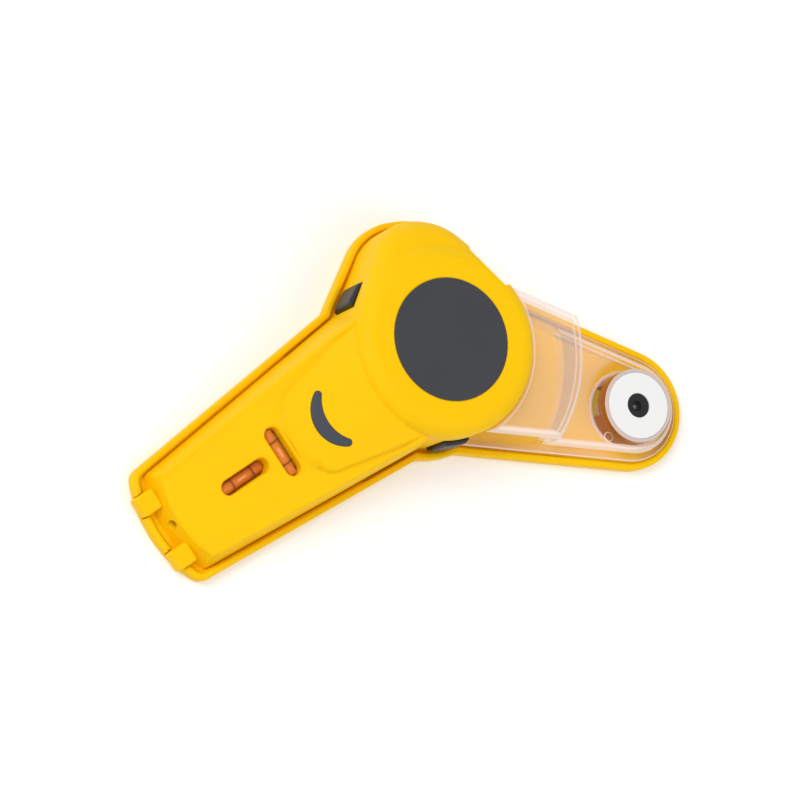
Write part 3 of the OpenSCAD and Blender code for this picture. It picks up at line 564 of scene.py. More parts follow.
CARRIED_OVER: dict[str, Finish] = {
    "vial_cradle": YELLOW_ABS,
    "battery_door": YELLOW_ABS,
    "fan_switch": BLACK_ABS,
    "laser_switch": BLACK_ABS,
    "filter_frame": BLACK_ABS,
    "motor_deck": BLACK_ABS,
    "motor_can": PLATED_STEEL,
    "motor_cap": WHITE_PP,
    "motor_terminals": BRASS,
    "motor_magnets": FERRITE,
    "motor_bushes": BRASS,
    "motor_shaft": PLATED_STEEL,
    "motor_armature": COPPER,
    "impeller": WHITE_PP,
    "motor_screws": PLATED_STEEL,
    "battery_cradle": BLACK_ABS,
    "battery_cells": CELL_FOIL,
    "battery_springs": SPRING_STEEL,
    "battery_plates": PLATED_STEEL,
    "circuit_board": BOARD,
    "laser_barrel": BRASS,
    "laser_lens": LENS,
    "stack_screws": PLATED_STEEL,
    "handle_screws": PLATED_STEEL,
}


def dress(piece: bpy.types.Object, finish: Finish) -> None:
    """Gives a piece one finish in place of any it had."""
    piece.data.materials.clear()
    piece.data.materials.append(finish.material())


def enter(
    piece: bpy.types.Object,
    finish: Finish,
    body: str,
    nodes: Sequence[str] = (),
) -> bpy.types.Object:
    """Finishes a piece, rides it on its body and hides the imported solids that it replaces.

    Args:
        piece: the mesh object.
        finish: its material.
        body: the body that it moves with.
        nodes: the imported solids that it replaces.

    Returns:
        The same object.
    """
    dress(piece, finish)
    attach(piece, body)
    if nodes:
        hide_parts(*nodes)
    LOG.info("%s: %d faces on %s", piece.name, len(piece.data.polygons), body)
    return piece


# Outlines of the body, all star-shaped about the fan axis


@dataclass(frozen=True)
class Outline:
    """A convex outline round the fan axis: the band stretched round some circles.

    Each circle is x, y and radius. Drawn in by an inset, every tangent moves in by that much.
    """

    circles: tuple[tuple[float, float, float], ...]

    def reach(self, turns: Array, inset: float) -> Array:
        """Finds how far the outline is from the fan axis.

        Formula: the least, over all directions, of the tangent's distance from the axis divided by
        the cosine of the angle between that direction and the ray.

        Args:
            turns: the rays' angles in radians.
            inset: how far the outline is drawn in.

        Returns:
            The distance along each ray.
        """
        normals = np.linspace(0.0, TAU, TANGENTS, endpoint=False)
        x, y, r = np.array(self.circles).T
        far = np.outer(np.cos(normals), x) + np.outer(np.sin(normals), y) + r
        tangent = np.max(far, axis=1) - inset
        facing = np.cos(turns[:, None] - normals[None, :])
        least = 0.02
        ray = np.where(facing > least, tangent[None, :] / np.maximum(facing, least), np.inf)
        return ray.min(axis=1)


@dataclass(frozen=True)
class BodyPlan:
    """The main sizes that the outlines share."""

    plate_r: float = 47.5
    lobe_r: float = 28.0
    lobe_far: float = 32.2
    lobe_turn: float = 67.5
    swell: float = 4.0
    drill_far: float = 107.0
    arm_turn: float = -45.0
    arm_root_r: float = 43.1
    arm_end_r: float = 28.0
    drum_r: float = 42.4
    drum_top: float = 40.0
    drum_round: float = 8.0
    label_r: float = 27.2
    seam: float = 3.7
    rim_w: float = 3.0
    rim_top: float = 6.0
    floor: float = 2.2
    wall: float = 1.8
    handle_reach: float = 152.0
    handle_root: float = 40.7
    handle_taper: float = 5.3
    side_run: float = 18.0
    end_recess: float = 3.0
    end_arch: float = 58.0
    end_corner: float = 6.0

    @property
    def lobe_at(self) -> Array:
        """Middle of the lobe in the plan."""
        return self.lobe_far * heading(self.lobe_turn)

    @property
    def swell_at(self) -> Array:
        """Middle of the swell on the lobe's far side."""
        return self.lobe_at + self.swell * heading(self.lobe_turn - 90.0)

    @property
    def drill_at(self) -> Array:
        """Where the drill's axis stands in the plan."""
        return self.drill_far * heading(self.arm_turn)

    @property
    def cover_low(self) -> float:
        """Height of the cover's foot, a hair over the plate's floor."""
        return self.floor + 0.1

    def bend(self) -> Outline:
        """The wall plate round the drum and the lobe."""
        r = self.lobe_r
        return Outline(((0, 0, self.plate_r), (*self.lobe_at, r), (*self.swell_at, r)))

    def cover_bend(self) -> Outline:
        """The cover's foot round the drum and the lobe."""
        r = self.lobe_r - self.seam
        return Outline(((0, 0, self.drum_r), (*self.lobe_at, r), (*self.swell_at, r)))

    def cover_crown(self) -> Outline:
        """The cover's shoulder, which leans in over its foot on the lobe's far side."""
        return Outline(((0, 0, self.drum_r), (*self.lobe_at, self.lobe_r - self.seam)))

    def arm(self) -> Outline:
        """The dust arm."""
        return Outline(((0, 0, self.arm_root_r), (*self.drill_at, self.arm_end_r)))

    def handle(self, recess: float = 0.0) -> Outline:
        """The handle: two sides that close in, an arched end and two rounded corners.

        Args:
            recess: how far short of the handle's full reach the end stays.

        Returns:
            The outline, with the end arch as a row of points.
        """
        taper, arch, corner = self.handle_taper, self.end_arch, self.end_corner
        middle = arch - self.handle_reach + recess
        side = heading(90 + taper)
        span = arch - corner
        rise = np.degrees(np.arccos((self.handle_root - corner - side[0] * middle) / span))
        turn = 90 + taper + rise
        at = np.array([middle, 0.0]) + span * heading(turn)
        bow = np.radians(np.linspace(turn, 360 - turn, 41))
        points = [(middle + arch * np.cos(a), arch * np.sin(a), 0.0) for a in bow]
        foot = self.handle_root * side + self.side_run * heading(taper)
        ends = [(foot[0], s * foot[1], 0.0) for s in (1, -1)]
        corners = [(at[0], s * at[1], corner) for s in (1, -1)]
        return Outline(tuple(points + ends + corners))


@dataclass(frozen=True)
class VialSeat:
    """Where one vial lies: its distance from the fan axis, its turn and its axis' height."""

    name: str
    far: float
    turn: float
    height: float


class ButtonPlace(Enum):
    """The two side buttons: each one's name and its angle round the drum in degrees."""

    FAN = ("fan_button", 117.0)
    LASER = ("laser_button", -113.5)


PLAN = BodyPlan()
VIAL_SEATS = (VialSeat("axial", 107.0, 0.0, 10.64), VialSeat("cross", 87.5, 90.0, 15.11))


def even_turns(reach: Callable[[Array], Array], count: int) -> Array:
    """Picks rays that meet an outline at even steps along it.

    Args:
        reach: gives the outline's distance along rays.
        count: how many rays.

    Returns:
        The rays' angles in radians, from 0 upwards.
    """
    turns = np.linspace(0.0, TAU, FINE_RAYS + 1)
    far = reach(turns)
    path = np.stack([far * np.cos(turns), far * np.sin(turns)], axis=-1)
    along = np.concatenate([[0.0], np.cumsum(np.linalg.norm(np.diff(path, axis=0), axis=1))])
    return np.interp(np.linspace(0.0, along[-1], count, endpoint=False), along, turns)


def polar(turns: Array, far: Array, height: Array | float) -> Array:
    """Places points by angle, distance from the fan axis and height."""
    z = np.broadcast_to(np.asarray(height, float), far.shape)
    return np.stack([far * np.cos(turns), far * np.sin(turns), z], axis=-1)


def circle(count: int) -> Array:
    """Gives evenly spaced turns of a full circle, in radians, without its last point."""
    return np.linspace(0, TAU, count, endpoint=False)


def capped(
    name: str, rings: Sequence[Array], tips: Sequence[tuple[int, Sequence[float]]]
) -> bpy.types.Object:
    """Joins closed rings of points into a solid and closes its end rings, each to a tip.

    Args:
        name: the object's name.
        rings: arrays of points by 3, all of one length.
        tips: for each end, the number of its ring (0 or -1) and the place of its tip.

    Returns:
        The closed solid.
    """
    skin = Skin()
    index = skin.grid(np.array(rings), wrap_columns=True)
    for row, tip in tips:
        skin.fan(index[row], tip)
    return skin.build(name)


def rounded_slab(
    name: str,
    reach: Callable[[Array, float], Array],
    low: float,
    top: float,
    rounding: float,
    count: int = 300,
) -> bpy.types.Object:
    """Makes a flat-topped solid on a star-shaped outline, with a rounded upper edge.

    Formula: ring by ring, the outline is drawn in by rounding times (1 - cos) while the height
    rises to the top by rounding times sin; the rings then close on the fan axis.

    Args:
        name: the object's name.
        reach: gives the outline's distance along rays at an inset.
        low: height of the bottom.
        top: height of the top.
        rounding: radius of the upper edge.
        count: number of rays.

    Returns:
        The closed solid.
    """
    turns = even_turns(lambda a: reach(a, 0.0), count)
    arc = quarter(7)
    insets = np.concatenate([[0.0], rounding * (1 - np.cos(arc))])
    heights = np.concatenate([[low], top - rounding * (1 - np.sin(arc))])
    rings = [polar(turns, reach(turns, i), z) for i, z in zip(insets, heights)]
    return capped(name, rings, ((-1, (0, 0, top)), (0, (0, 0, low))))


def lathe(
    name: str, profile: Sequence[tuple[float, float]], at: Sequence[float], count: int = 96
) -> bpy.types.Object:
    """Turns a closed profile about an upright axis.

    Formula: each profile point, a distance and a height, is carried round the axis in even steps.

    Args:
        name: the object's name.
        profile: distances from the axis and heights, in order round the section.
        at: where the axis stands in the plan.
        count: number of steps round the axis.

    Returns:
        The closed solid.
    """
    r, z = np.array(profile, float).T
    turns = circle(count)
    x, y = at[0] + np.outer(r, np.cos(turns)), at[1] + np.outer(r, np.sin(turns))
    skin = Skin()
    points = np.stack([x, y, np.repeat(z[:, None], count, axis=1)], axis=-1)
    skin.grid(points, wrap_rows=True, wrap_columns=True)
    return skin.build(name)


def pin(
    name: str, r: float, low: float, high: float, at: Sequence[float], count: int = 48
) -> bpy.types.Object:
    """Turns a plain upright pin.

    Args:
        name: the object's name.
        r: its radius.
        low: height of its foot.
        high: height of its top.
        at: where its axis stands in the plan.
        count: number of steps round the axis.

    Returns:
        The closed solid.
    """
    return lathe(name, [(0.0, low), (r, low), (r, high), (0.0, high)], at, count)


def lay(along: Array, across: Array, up: Array, at: Sequence[float], turn: float) -> Array:
    """Places points of a rod that lies in the plan.

    Args:
        along: places along the rod's axis.
        across: places beside the axis.
        up: heights over the axis.
        at: the rod's middle.
        turn: angle of its axis from +X, in degrees.

    Returns:
        The points.
    """
    c, s = heading(turn)
    x, y = at[0] + along * c - across * s, at[1] + along * s + across * c
    return np.stack([x, y, at[2] + up], axis=-1)


def prism(
    name: str, path: Array, offsets: Sequence[float], heights: Sequence[Array | float]
) -> bpy.types.Object:
    """Carries a flaring side up a closed flat path, and closes it below and above.

    Formula: each level is the path moved out along its own normal by that level's offset.

    Args:
        name: the object's name.
        path: points of the path, counter-clockwise.
        offsets: how far each level stands out.
        heights: each level's height, one number or one for each point.

    Returns:
        The closed solid.
    """
    ahead = np.roll(path, -1, axis=0) - np.roll(path, 1, axis=0)
    out = np.stack([ahead[:, 1], -ahead[:, 0]], axis=-1)
    out /= np.linalg.norm(out, axis=1)[:, None]
    levels = []
    for offset, height in zip(offsets, heights):
        z = np.broadcast_to(np.asarray(height, float), (len(path),))
        levels.append(np.column_stack([path + offset * out, z]))
    return capped(name, levels, [(row, levels[row].mean(axis=0)) for row in (0, -1)])


def rounded_top(
    low: float, top: float, rounding: float, steps: int = 6
) -> tuple[list[float], list[float]]:
    """Gives the offsets and heights of a prism whose upper edge is a quarter round.

    Args:
        low: height of the foot.
        top: height of the top.
        rounding: radius of the edge.
        steps: number of levels in the round.

    Returns:
        The offsets and the heights, from the foot up.
    """
    arc = quarter(steps)
    offsets = [0.0, *(rounding * (np.cos(arc) - 1))]
    heights = [low, *(top - rounding * (1 - np.sin(arc)))]
    return offsets, heights


def stadium(
    length: float, width: float, at: Sequence[float], turn: float, count: int = 24
) -> Array:
    """Draws a slot with round ends.

    Args:
        length: full length.
        width: full width.
        at: the slot's middle.
        turn: angle of its long side from +X, in degrees.
        count: points on each end.

    Returns:
        The path, counter-clockwise.
    """
    half, r = 0.5 * (length - width), 0.5 * width
    arc = np.linspace(-np.pi / 2, np.pi / 2, count)
    ends = [np.stack([s * (half + r * np.cos(arc)), s * r * np.sin(arc)], axis=-1) for s in (1, -1)]
    path = np.concatenate(ends)
    c, s = heading(turn)
    return path @ np.array([[c, s], [-s, c]]) + np.asarray(at)


def sector(inner: float, outer: float, middle: float, half: float) -> Array:
    """Draws a piece of a ring about the fan axis.

    Args:
        inner: inner radius.
        outer: outer radius.
        middle: angle of its middle in degrees.
        half: angle from its middle to each end.

    Returns:
        The path, counter-clockwise.
    """
    bow = np.radians(np.linspace(middle - half, middle + half, 33))
    ring = np.stack([np.cos(bow), np.sin(bow)], axis=-1)
    return np.concatenate([outer * ring, inner * ring[::-1]])


def block(
    name: str,
    size: Sequence[float],
    at: Sequence[float],
    turn: float,
    rounding: float,
    crown: float = 0.0,
) -> bpy.types.Object:
    """Makes an upright block with rounded upright corners, turned about the fan axis.

    Args:
        name: the object's name.
        size: full sizes along its own x, y and z.
        at: middle of its foot before it is turned.
        turn: turn about the fan axis in degrees.
        rounding: radius of the upright corners.
        crown: radius of the upper edge.

    Returns:
        The closed solid.
    """
    arc = quarter(5)
    corners = []
    for k, (sx, sy) in enumerate(((1, 1), (-1, 1), (-1, -1), (1, -1))):
        a = arc + k * np.pi / 2
        x = at[0] + sx * (0.5 * size[0] - rounding) + rounding * np.cos(a)
        y = at[1] + sy * (0.5 * size[1] - rounding) + rounding * np.sin(a)
        corners.append(np.stack([x, y], axis=-1))
    c, s = heading(turn)
    path = np.concatenate(corners) @ np.array([[c, s], [-s, c]])
    if crown:
        return prism(name, path, *rounded_top(at[2], at[2] + size[2], crown))
    return prism(name, path, (0, 0), (at[2], at[2] + size[2]))


# Sub-assemblies


@dataclass
class MainCover:
    """The yellow upper moulding: drum, lobe, tongue and handle in one shell."""

    lobe_top: float = 33.0
    lobe_root_top: float = 39.4
    roof_from: float = 24.0
    roof_run: float = 25.0
    roof_past: float = 1.3
    roof_power: float = 1.6
    edge_band: float = 10.0
    wall_fall: float = 6.0
    handle_end_top: float = 12.0
    handle_rise: float = 0.156
    handle_lean: float = 3.5
    handle_round: float = 2.5
    tongue_slices: tuple[tuple[float, float, float, float], ...] = (
        (-82.0, 23.8, 13.7, 0.6),
        (-76.0, 25.8, 19.0, 1.1),
        (-32.6, 37.5, 28.1, 4.4),
    )
    flank_slope: float = 2.8
    nose_slope: float = 2.0
    nose_r: float = 28.0
    nose_fillet: float = 4.0
    crown_fillet: float = 1.3
    tongue_fillet: float = 1.0
    drum_fillet: float = 6.0
    lobe_fillet: float = 3.0
    fillet_lead: float = 1.5
    drum_under: float = 0.06
    close_rings: tuple[tuple[float, float], ...] = ((33.0, 0.6), (47.0, 0.8))
    ring_shares: tuple[float, ...] = (0.0, 0.1, 0.38, 1.0)
    window_len: float = 23.0
    window_w: float = 6.3
    window_gap: float = 0.2
    window_soft: float = 1.3
    collar_w: float = 1.5
    tab_y: float = 13.4
    tab_w: float = 9.4
    tab_top: float = 8.8
    tab_inset: float = 0.6
    tab_round: float = 1.4
    tab_crown: float = 1.2
    outlet_r: float = 2.2
    outlet_wall: float = 1.0
    laser_z: float = 7.5
    sleeve_from: float = 10.8
    sleeve_to: float = 12.3
    label_depth: float = 0.5
    pocket_gap: float = 0.12
    pocket_depth: float = 0.9
    button_gap: float = 0.3
    vents: int = 5
    vent_y: float = 13.5
    vent_pitch: float = 4.0
    vent_w: float = 2.0
    vent_low: float = 9.0
    vent_high: float = 22.0
    vent_turn: float = 4.3
    post_turns: tuple[float, ...] = (-92.0, 10.0, 92.0)
    post_reach: float = 36.4
    post_r: float = 3.2
    post_low: float = 28.92
    post_high: float = 37.2
    post_hole_r: float = 1.45
    post_hole_top: float = 32.9
    boss_r: float = 2.8
    boss_at: tuple[float, float] = (-131.0, 17.0)
    boss_hole_r: float = 1.15
    boss_hole_top: float = 10.0
    flat_turn: float = 14.46
    flat_rise: float = 27.86
    flat_far: float = 51.63
    flat_from: float = -5.8
    flat_to: float = 18.4
    mouth_half: float = 16.0
    mouth_low: float = 9.0
    mouth_high: float = 20.0

    def handle_plane(self, x: Array | float) -> Array | float:
        """Height of the handle's top at x, a plane that rises towards the drum."""
        start = PLAN.handle_reach - PLAN.end_recess - PLAN.seam
        return self.handle_end_top + self.handle_rise * (x + start)

    def tongue(self, x: Array, y: Array, thin: float) -> Array:
        """Works out the tongue's height.

        Formula: a crown that rises along x and falls with the square of y over the half width, cut
        off by two sloping flanks and a bowed sloping nose, each rounded into the next. Each slice
        gives x, the crown's height, its half width and its fall towards the flanks.

        Args:
            x: places along the handle.
            y: places across it.
            thin: how much the form is drawn in on its top, its flanks and its nose.

        Returns:
            The heights.
        """
        stations, spines, halves, drops = np.array(self.tongue_slices).T
        spine = np.interp(x, stations, spines)
        half = np.interp(x, stations, halves)
        drop = np.interp(x, stations, drops)
        crown = spine - drop * (y / half) ** 2
        flank = spine - drop + self.flank_slope * (half - thin - np.abs(y))
        bow = y**2 / (2.0 * self.nose_r)
        nose = spines[0] + self.nose_slope * (x - thin - stations[0] - bow)
        sides = soft_min(flank, nose, self.nose_fillet)
        return soft_min(crown, sides, self.crown_fillet) - thin

    def drum_height(self, x: Array, y: Array, thin: float) -> Array:
        """Height of the drum: flat, then a quarter round, then a steep wall.

        Args:
            x: places along X.
            y: places along Y.
            thin: how much the form is drawn in on all sides.

        Returns:
            The heights.
        """
        rounding, edge = PLAN.drum_round - thin, PLAN.drum_r - PLAN.drum_round
        over = np.hypot(x, y) - edge
        dome = np.sqrt(np.maximum(0.0, rounding**2 - np.clip(over, 0, rounding) ** 2))
        low = PLAN.drum_top - PLAN.drum_round
        return low + dome - self.wall_fall * np.maximum(0.0, over - rounding)

    def off_top(self, x: Array, y: Array) -> Array:
        """Share of the fillets: none on the drum's flat top, all of it past the drum's round."""
        edge = PLAN.drum_r - PLAN.drum_round
        return np.clip((np.hypot(x, y) - edge + self.fillet_lead) / PLAN.drum_round, 0.0, 1.0)

    def handle_top(self, x: Array, y: Array, thin: float) -> Array:
        """Height of the handle with the tongue, without the drum, drawn in by thin."""
        return soft_max(self.handle_plane(x) - thin, self.tongue(x, y, thin), self.tongue_fillet)

    def handle_height(self, x: Array, y: Array, thin: float) -> Array:
        """Height of the handle and tongue, which flow up into the drum.

        Args:
            x: places along the handle.
            y: places across it.
            thin: how much the form is drawn in.

        Returns:
            The heights.
        """
        top = self.handle_top(x, y, thin)
        drum = self.drum_height(x, y, thin) - self.drum_under
        return soft_max(top, drum, self.drum_fillet * self.off_top(x, y))

    def bend_height(self, x: Array, y: Array, inset: Array, thin: float) -> Array:
        """Height of the drum and the lobe.

        Formula: the lobe's roof falls away from the drum along the lobe's axis and is rounded off
        by a quarter circle at its edge; drum and roof flow together.

        Args:
            x: places along X.
            y: places along Y.
            inset: distance in from the outline.
            thin: how much the form is drawn in.

        Returns:
            The heights.
        """
        out = heading(PLAN.lobe_turn)
        along = (x * out[0] + y * out[1] - self.roof_from) / self.roof_run
        along = np.clip(along, 0.0, self.roof_past)
        fall = self.lobe_root_top - self.lobe_top
        roof = self.lobe_root_top - fall * along**self.roof_power - thin
        rounding = PLAN.drum_round - thin
        edge = np.clip(rounding - inset, 0.0, rounding)
        lobe = roof - rounding + np.sqrt(np.maximum(0.0, rounding**2 - edge**2))
        return soft_max(self.drum_height(x, y, thin), lobe, self.lobe_fillet * self.off_top(x, y))

    def bend_solid(self, name: str, thin: float, low: float, count: int) -> bpy.types.Object:
        """Makes the solid of drum and lobe, drawn in by thin.

        Formula: rings of the outline, close together near the edge, take their height from the
        drum and the lobe; the first ring is the foot, on the wider outline of the cover's foot.

        Args:
            name: the object's name.
            thin: how much the form is drawn in on all sides.
            low: height of its bottom.
            count: number of rays.

        Returns:
            The closed solid.
        """
        outline = PLAN.cover_crown()
        turns = even_turns(lambda a: outline.reach(a, thin), count)
        edge = self.edge_band * (1 - np.cos(quarter(14)))
        rings = [(outline.reach(turns, thin + i), np.full(len(turns), i)) for i in edge]
        inner = rings[-1][0]
        shares = np.linspace(1.0, 0.0, count // 10)[1:-1]
        rings += [(inner * s, self.edge_band + inner * (1 - s)) for s in shares]
        rows = [polar(turns, PLAN.cover_bend().reach(turns, thin), low)]
        for far, inset in rings:
            x, y = far * np.cos(turns), far * np.sin(turns)
            rows.append(polar(turns, far, self.bend_height(x, y, inset, thin)))
        return capped(name, rows, ((-1, (0, 0, PLAN.drum_top - thin)), (0, (0, 0, low))))

    def handle_solid(self, name: str, thin: float, low: float, count: int) -> bpy.types.Object:
        """Makes the solid of handle and tongue, drawn in by thin.

        Formula: rings of the outline lean in with the height, turn in a quarter circle and then
        run in along the rays to the fan axis, with close rings where the drum stands.

        Args:
            name: the object's name.
            thin: how much the form is drawn in on all sides.
            low: height of its bottom.
            count: number of rays.

        Returns:
            The closed solid.
        """
        outline = PLAN.handle(PLAN.end_recess)
        first, lean, rounding = PLAN.seam + thin, self.handle_lean, self.handle_round
        turns = even_turns(lambda a: outline.reach(a, first), count)
        inner = outline.reach(turns, first + lean + rounding)
        steps = np.linspace(0.0, 1.0, count // 4)
        close = [np.minimum(far, part * inner) for far, part in self.close_rings]
        marks = np.stack([0 * inner, *close, inner])
        share = np.interp(steps, self.ring_shares, [0, 1, 2, 3])
        left = np.minimum(share.astype(int), 2)
        part = (share - left)[:, None]
        inside = marks[left] * (1 - part) + marks[left + 1] * part
        foot = self.handle_top(inner * np.cos(turns), inner * np.sin(turns), thin) - rounding
        rows = [polar(turns, outline.reach(turns, first), low)]
        for s in np.linspace(0.0, 1.0, 6)[1:-1]:
            far = outline.reach(turns, first + s * lean)
            rows.append(polar(turns, far, low + s * (foot - low)))
        for a in quarter(8):
            inset = first + lean + rounding * (1 - np.cos(a))
            rows.append(polar(turns, outline.reach(turns, inset), foot + rounding * np.sin(a)))
        for far in inside[1:-1][::-1]:
            x, y = far * np.cos(turns), far * np.sin(turns)
            rows.append(polar(turns, far, self.handle_height(x, y, thin)))
        top = PLAN.drum_top - thin - self.drum_under
        return capped(name, rows, ((-1, (0, 0, top)), (0, (0, 0, low))))

    def flat(self, name: str, thin: float) -> bpy.types.Object:
        """Makes the cutter of the sloping flat on the drum's shoulder, above the vents.

        Args:
            name: the object's name.
            thin: how much deeper and longer it is, for the inside of the wall.

        Returns:
            The cutter, a block tipped so that its near face is the flat.
        """
        deep, tall, corner = 20.0, 60.0, 0.6
        size = (deep, self.flat_to - self.flat_from + 2 * thin, tall)
        middle = 0.5 * (self.flat_from + self.flat_to)
        at = (self.flat_far - thin + 0.5 * deep, middle, -0.5 * tall)
        tool = block(name, size, at, 0.0, corner)
        turn, rise = np.radians([self.flat_turn, self.flat_rise])
        tool.data.transform(Matrix.Rotation(turn, 4, "Z") @ Matrix.Rotation(-rise, 4, "Y"))
        return tool

    def add_tabs(self, cover: bpy.types.Object) -> None:
        """Adds the two tabs that hook over the plate's end.

        Args:
            cover: the cover, still solid.
        """
        low = PLAN.cover_low
        depth = PLAN.end_recess + PLAN.seam + PLAN.wall + 1.0
        size = (depth, self.tab_w, self.tab_top - PLAN.floor - 0.1)
        for s in (1, -1):
            at = (-PLAN.handle_reach + self.tab_inset + 0.5 * depth, s * self.tab_y, low)
            tab = block("tab", size, at, 0.0, self.tab_round, self.tab_crown)
            work_in(cover, tab, Join.ADD)

    def hollow_out(self, cover: bpy.types.Object) -> None:
        """Cuts the shoulder's flat, then the room inside, which follows the outer form.

        Args:
            cover: the cover, still solid.
        """
        wall, low = PLAN.wall, PLAN.floor - 2.0
        work_in(cover, self.flat("shoulder_flat", 0.0), Join.CUT)
        hollow = self.bend_solid("hollow", wall, low, 160)
        work_in(hollow, self.flat("flat_inside", wall), Join.CUT)
        work_in(hollow, self.handle_solid("handle_hollow", wall, low, 200), Join.ADD)
        work_in(cover, hollow, Join.CUT)

    def add_posts(self, cover: bpy.types.Object) -> None:
        """Adds the screw posts inside the drum and the handle, each with its pilot hole.

        Args:
            cover: the hollow cover.
        """
        low, below, bury = self.post_low, 1.0, 0.5 * PLAN.wall
        for turn in self.post_turns:
            at = self.post_reach * heading(turn)
            post = pin("post", self.post_r, low, self.post_high, at)
            work_in(post, self.flat("post_trim", bury), Join.CUT)
            work_in(cover, post, Join.ADD)
            hole = pin("pilot", self.post_hole_r, low - below, self.post_hole_top, at, 32)
            work_in(cover, hole, Join.CUT)
        low, high = PLAN.cover_low, self.handle_plane(self.boss_at[0]) - bury
        for side in (1, -1):
            at = (self.boss_at[0], side * self.boss_at[1])
            work_in(cover, pin("boss", self.boss_r, low, high, at), Join.ADD)
            hole = pin("pilot", self.boss_hole_r, low - below, self.boss_hole_top, at, 32)
            work_in(cover, hole, Join.CUT)

    def window(self, seat: VialSeat) -> bpy.types.Object:
        """Makes the cutter of one vial window, flared at the cover's surface to a soft edge.

        Formula: the window's outline runs straight up and then out by soft times (1 - cos) while it
        rises by soft times sin to the surface.

        Args:
            seat: where the vial lies.

        Returns:
            The cutter.
        """
        path = stadium(self.window_len, self.window_w, (-seat.far, 0.0), seat.turn)
        plane = self.handle_plane(path[:, 0])
        gap, soft, below, above = self.window_gap, self.window_soft, 9.0, 4.0
        arc = quarter(7)
        offsets = [gap, gap, *(gap + soft * (1 - np.cos(arc))), gap + soft]
        rise = [plane - soft * (1 - np.sin(a)) for a in arc]
        return prism("window", path, offsets, [plane - below, plane - soft, *rise, plane + above])

    def collar(self, seat: VialSeat) -> bpy.types.Object:
        """Makes the skirt that leads from a window's edge down to its vial.

        Args:
            seat: where the vial lies.

        Returns:
            The skirt as a full plug; the window is cut through it afterwards.
        """
        path = stadium(self.window_len, self.window_w, (-seat.far, 0.0), seat.turn)
        over_vial, under_top = 1.1, 0.9
        heights = (seat.height + over_vial, self.handle_plane(path[:, 0]) - under_top)
        return prism("collar", path, (self.collar_w, self.collar_w), heights)

    def cut_label_seat(self, cover: bpy.types.Object) -> None:
        """Sinks the label's seat into the drum's top, with a soft outer edge.

        Args:
            cover: the cover.
        """
        r, top, deep, above = PLAN.label_r, PLAN.drum_top, self.label_depth, 2.0
        snug, step, flare = r + 0.15, r + 0.25, r + 0.6
        seat = [(0.0, top - deep), (snug, top - deep), (step, top - 0.5 * deep)]
        seat += [(flare, top), (flare, top + above), (0.0, top + above)]
        work_in(cover, lathe("label_seat", seat, (0, 0), 128), Join.CUT)

    def cut_side(self, cover: bpy.types.Object) -> None:
        """Cuts the drum's wall: the holes of both buttons, the vents and the dust mouth.

        Args:
            cover: the cover.
        """
        deep, gap, tall = 8.0, self.button_gap, SideButton.high - SideButton.low
        size, corner = (deep, SideButton.width + 2 * gap, tall + 2 * gap), 0.4
        at = (PLAN.drum_r - 0.5, 0.0, SideButton.low - gap)
        for place in ButtonPlace:
            work_in(cover, block("button_hole", size, at, place.value[1], corner), Join.CUT)
        deep, edge = 9.0, 0.9
        size = (deep, self.vent_w, self.vent_high - self.vent_low)
        for k in range(self.vents):
            step = self.vent_y + (k - (self.vents - 1) / 2) * self.vent_pitch
            at = (PLAN.drum_r, step, self.vent_low)
            work_in(cover, block("vent", size, at, self.vent_turn, edge, edge), Join.CUT)
        inner, outer = PLAN.drum_r - PLAN.wall - 1.0, PLAN.drum_r + 4.0
        mouth = sector(inner, outer, PLAN.arm_turn, self.mouth_half)
        work_in(cover, prism("mouth", mouth, (0, 0), (self.mouth_low, self.mouth_high)), Join.CUT)

    def build(self) -> bpy.types.Object:
        """Builds the shell and works its openings in.

        Returns:
            The finished cover.
        """
        cover = self.bend_solid("main_cover_shell", 0.0, PLAN.cover_low, 360)
        work_in(cover, self.handle_solid("handle", 0.0, PLAN.cover_low, 400), Join.ADD)
        self.add_tabs(cover)
        self.hollow_out(cover)
        self.add_posts(cover)
        for seat in VIAL_SEATS:
            work_in(cover, self.collar(seat), Join.ADD)
            work_in(cover, self.window(seat), Join.CUT)
        pocket = Trim().crescent("pocket", self, self.pocket_gap, -self.pocket_depth, 3.0)
        work_in(cover, pocket, Join.CUT)
        self.cut_label_seat(cover)
        self.cut_side(cover)
        end, r, outer = -PLAN.handle_reach, self.outlet_r, self.outlet_r + self.outlet_wall
        sleeve = self.rod("sleeve", outer, end + self.sleeve_from, end + self.sleeve_to)
        work_in(cover, sleeve, Join.ADD)
        work_in(cover, self.rod("outlet", r, end - 2.0, end + 16.0), Join.CUT)
        return cover

    def rod(self, name: str, r: float, start: float, stop: float) -> bpy.types.Object:
        """Makes a round rod on the laser's axis, along X.

        Args:
            name: the object's name.
            r: its radius.
            start: where it starts along X.
            stop: where it stops.

        Returns:
            The closed solid.
        """
        turns = circle(40)
        x, _ = np.meshgrid([start, stop], turns, indexing="ij")
        ring = np.stack([r * np.cos(turns), self.laser_z + r * np.sin(turns)], axis=-1)
        tips = ((0, (start, 0.0, self.laser_z)), (-1, (stop, 0.0, self.laser_z)))
        return capped(name, np.dstack([x, np.stack([ring, ring])]), tips)

    def dress(self) -> None:
        """Builds the cover, finishes it and puts it on the housing."""
        cover = shade(self.build())
        enter(cover, YELLOW_ABS, "housing", ["main_cover"])


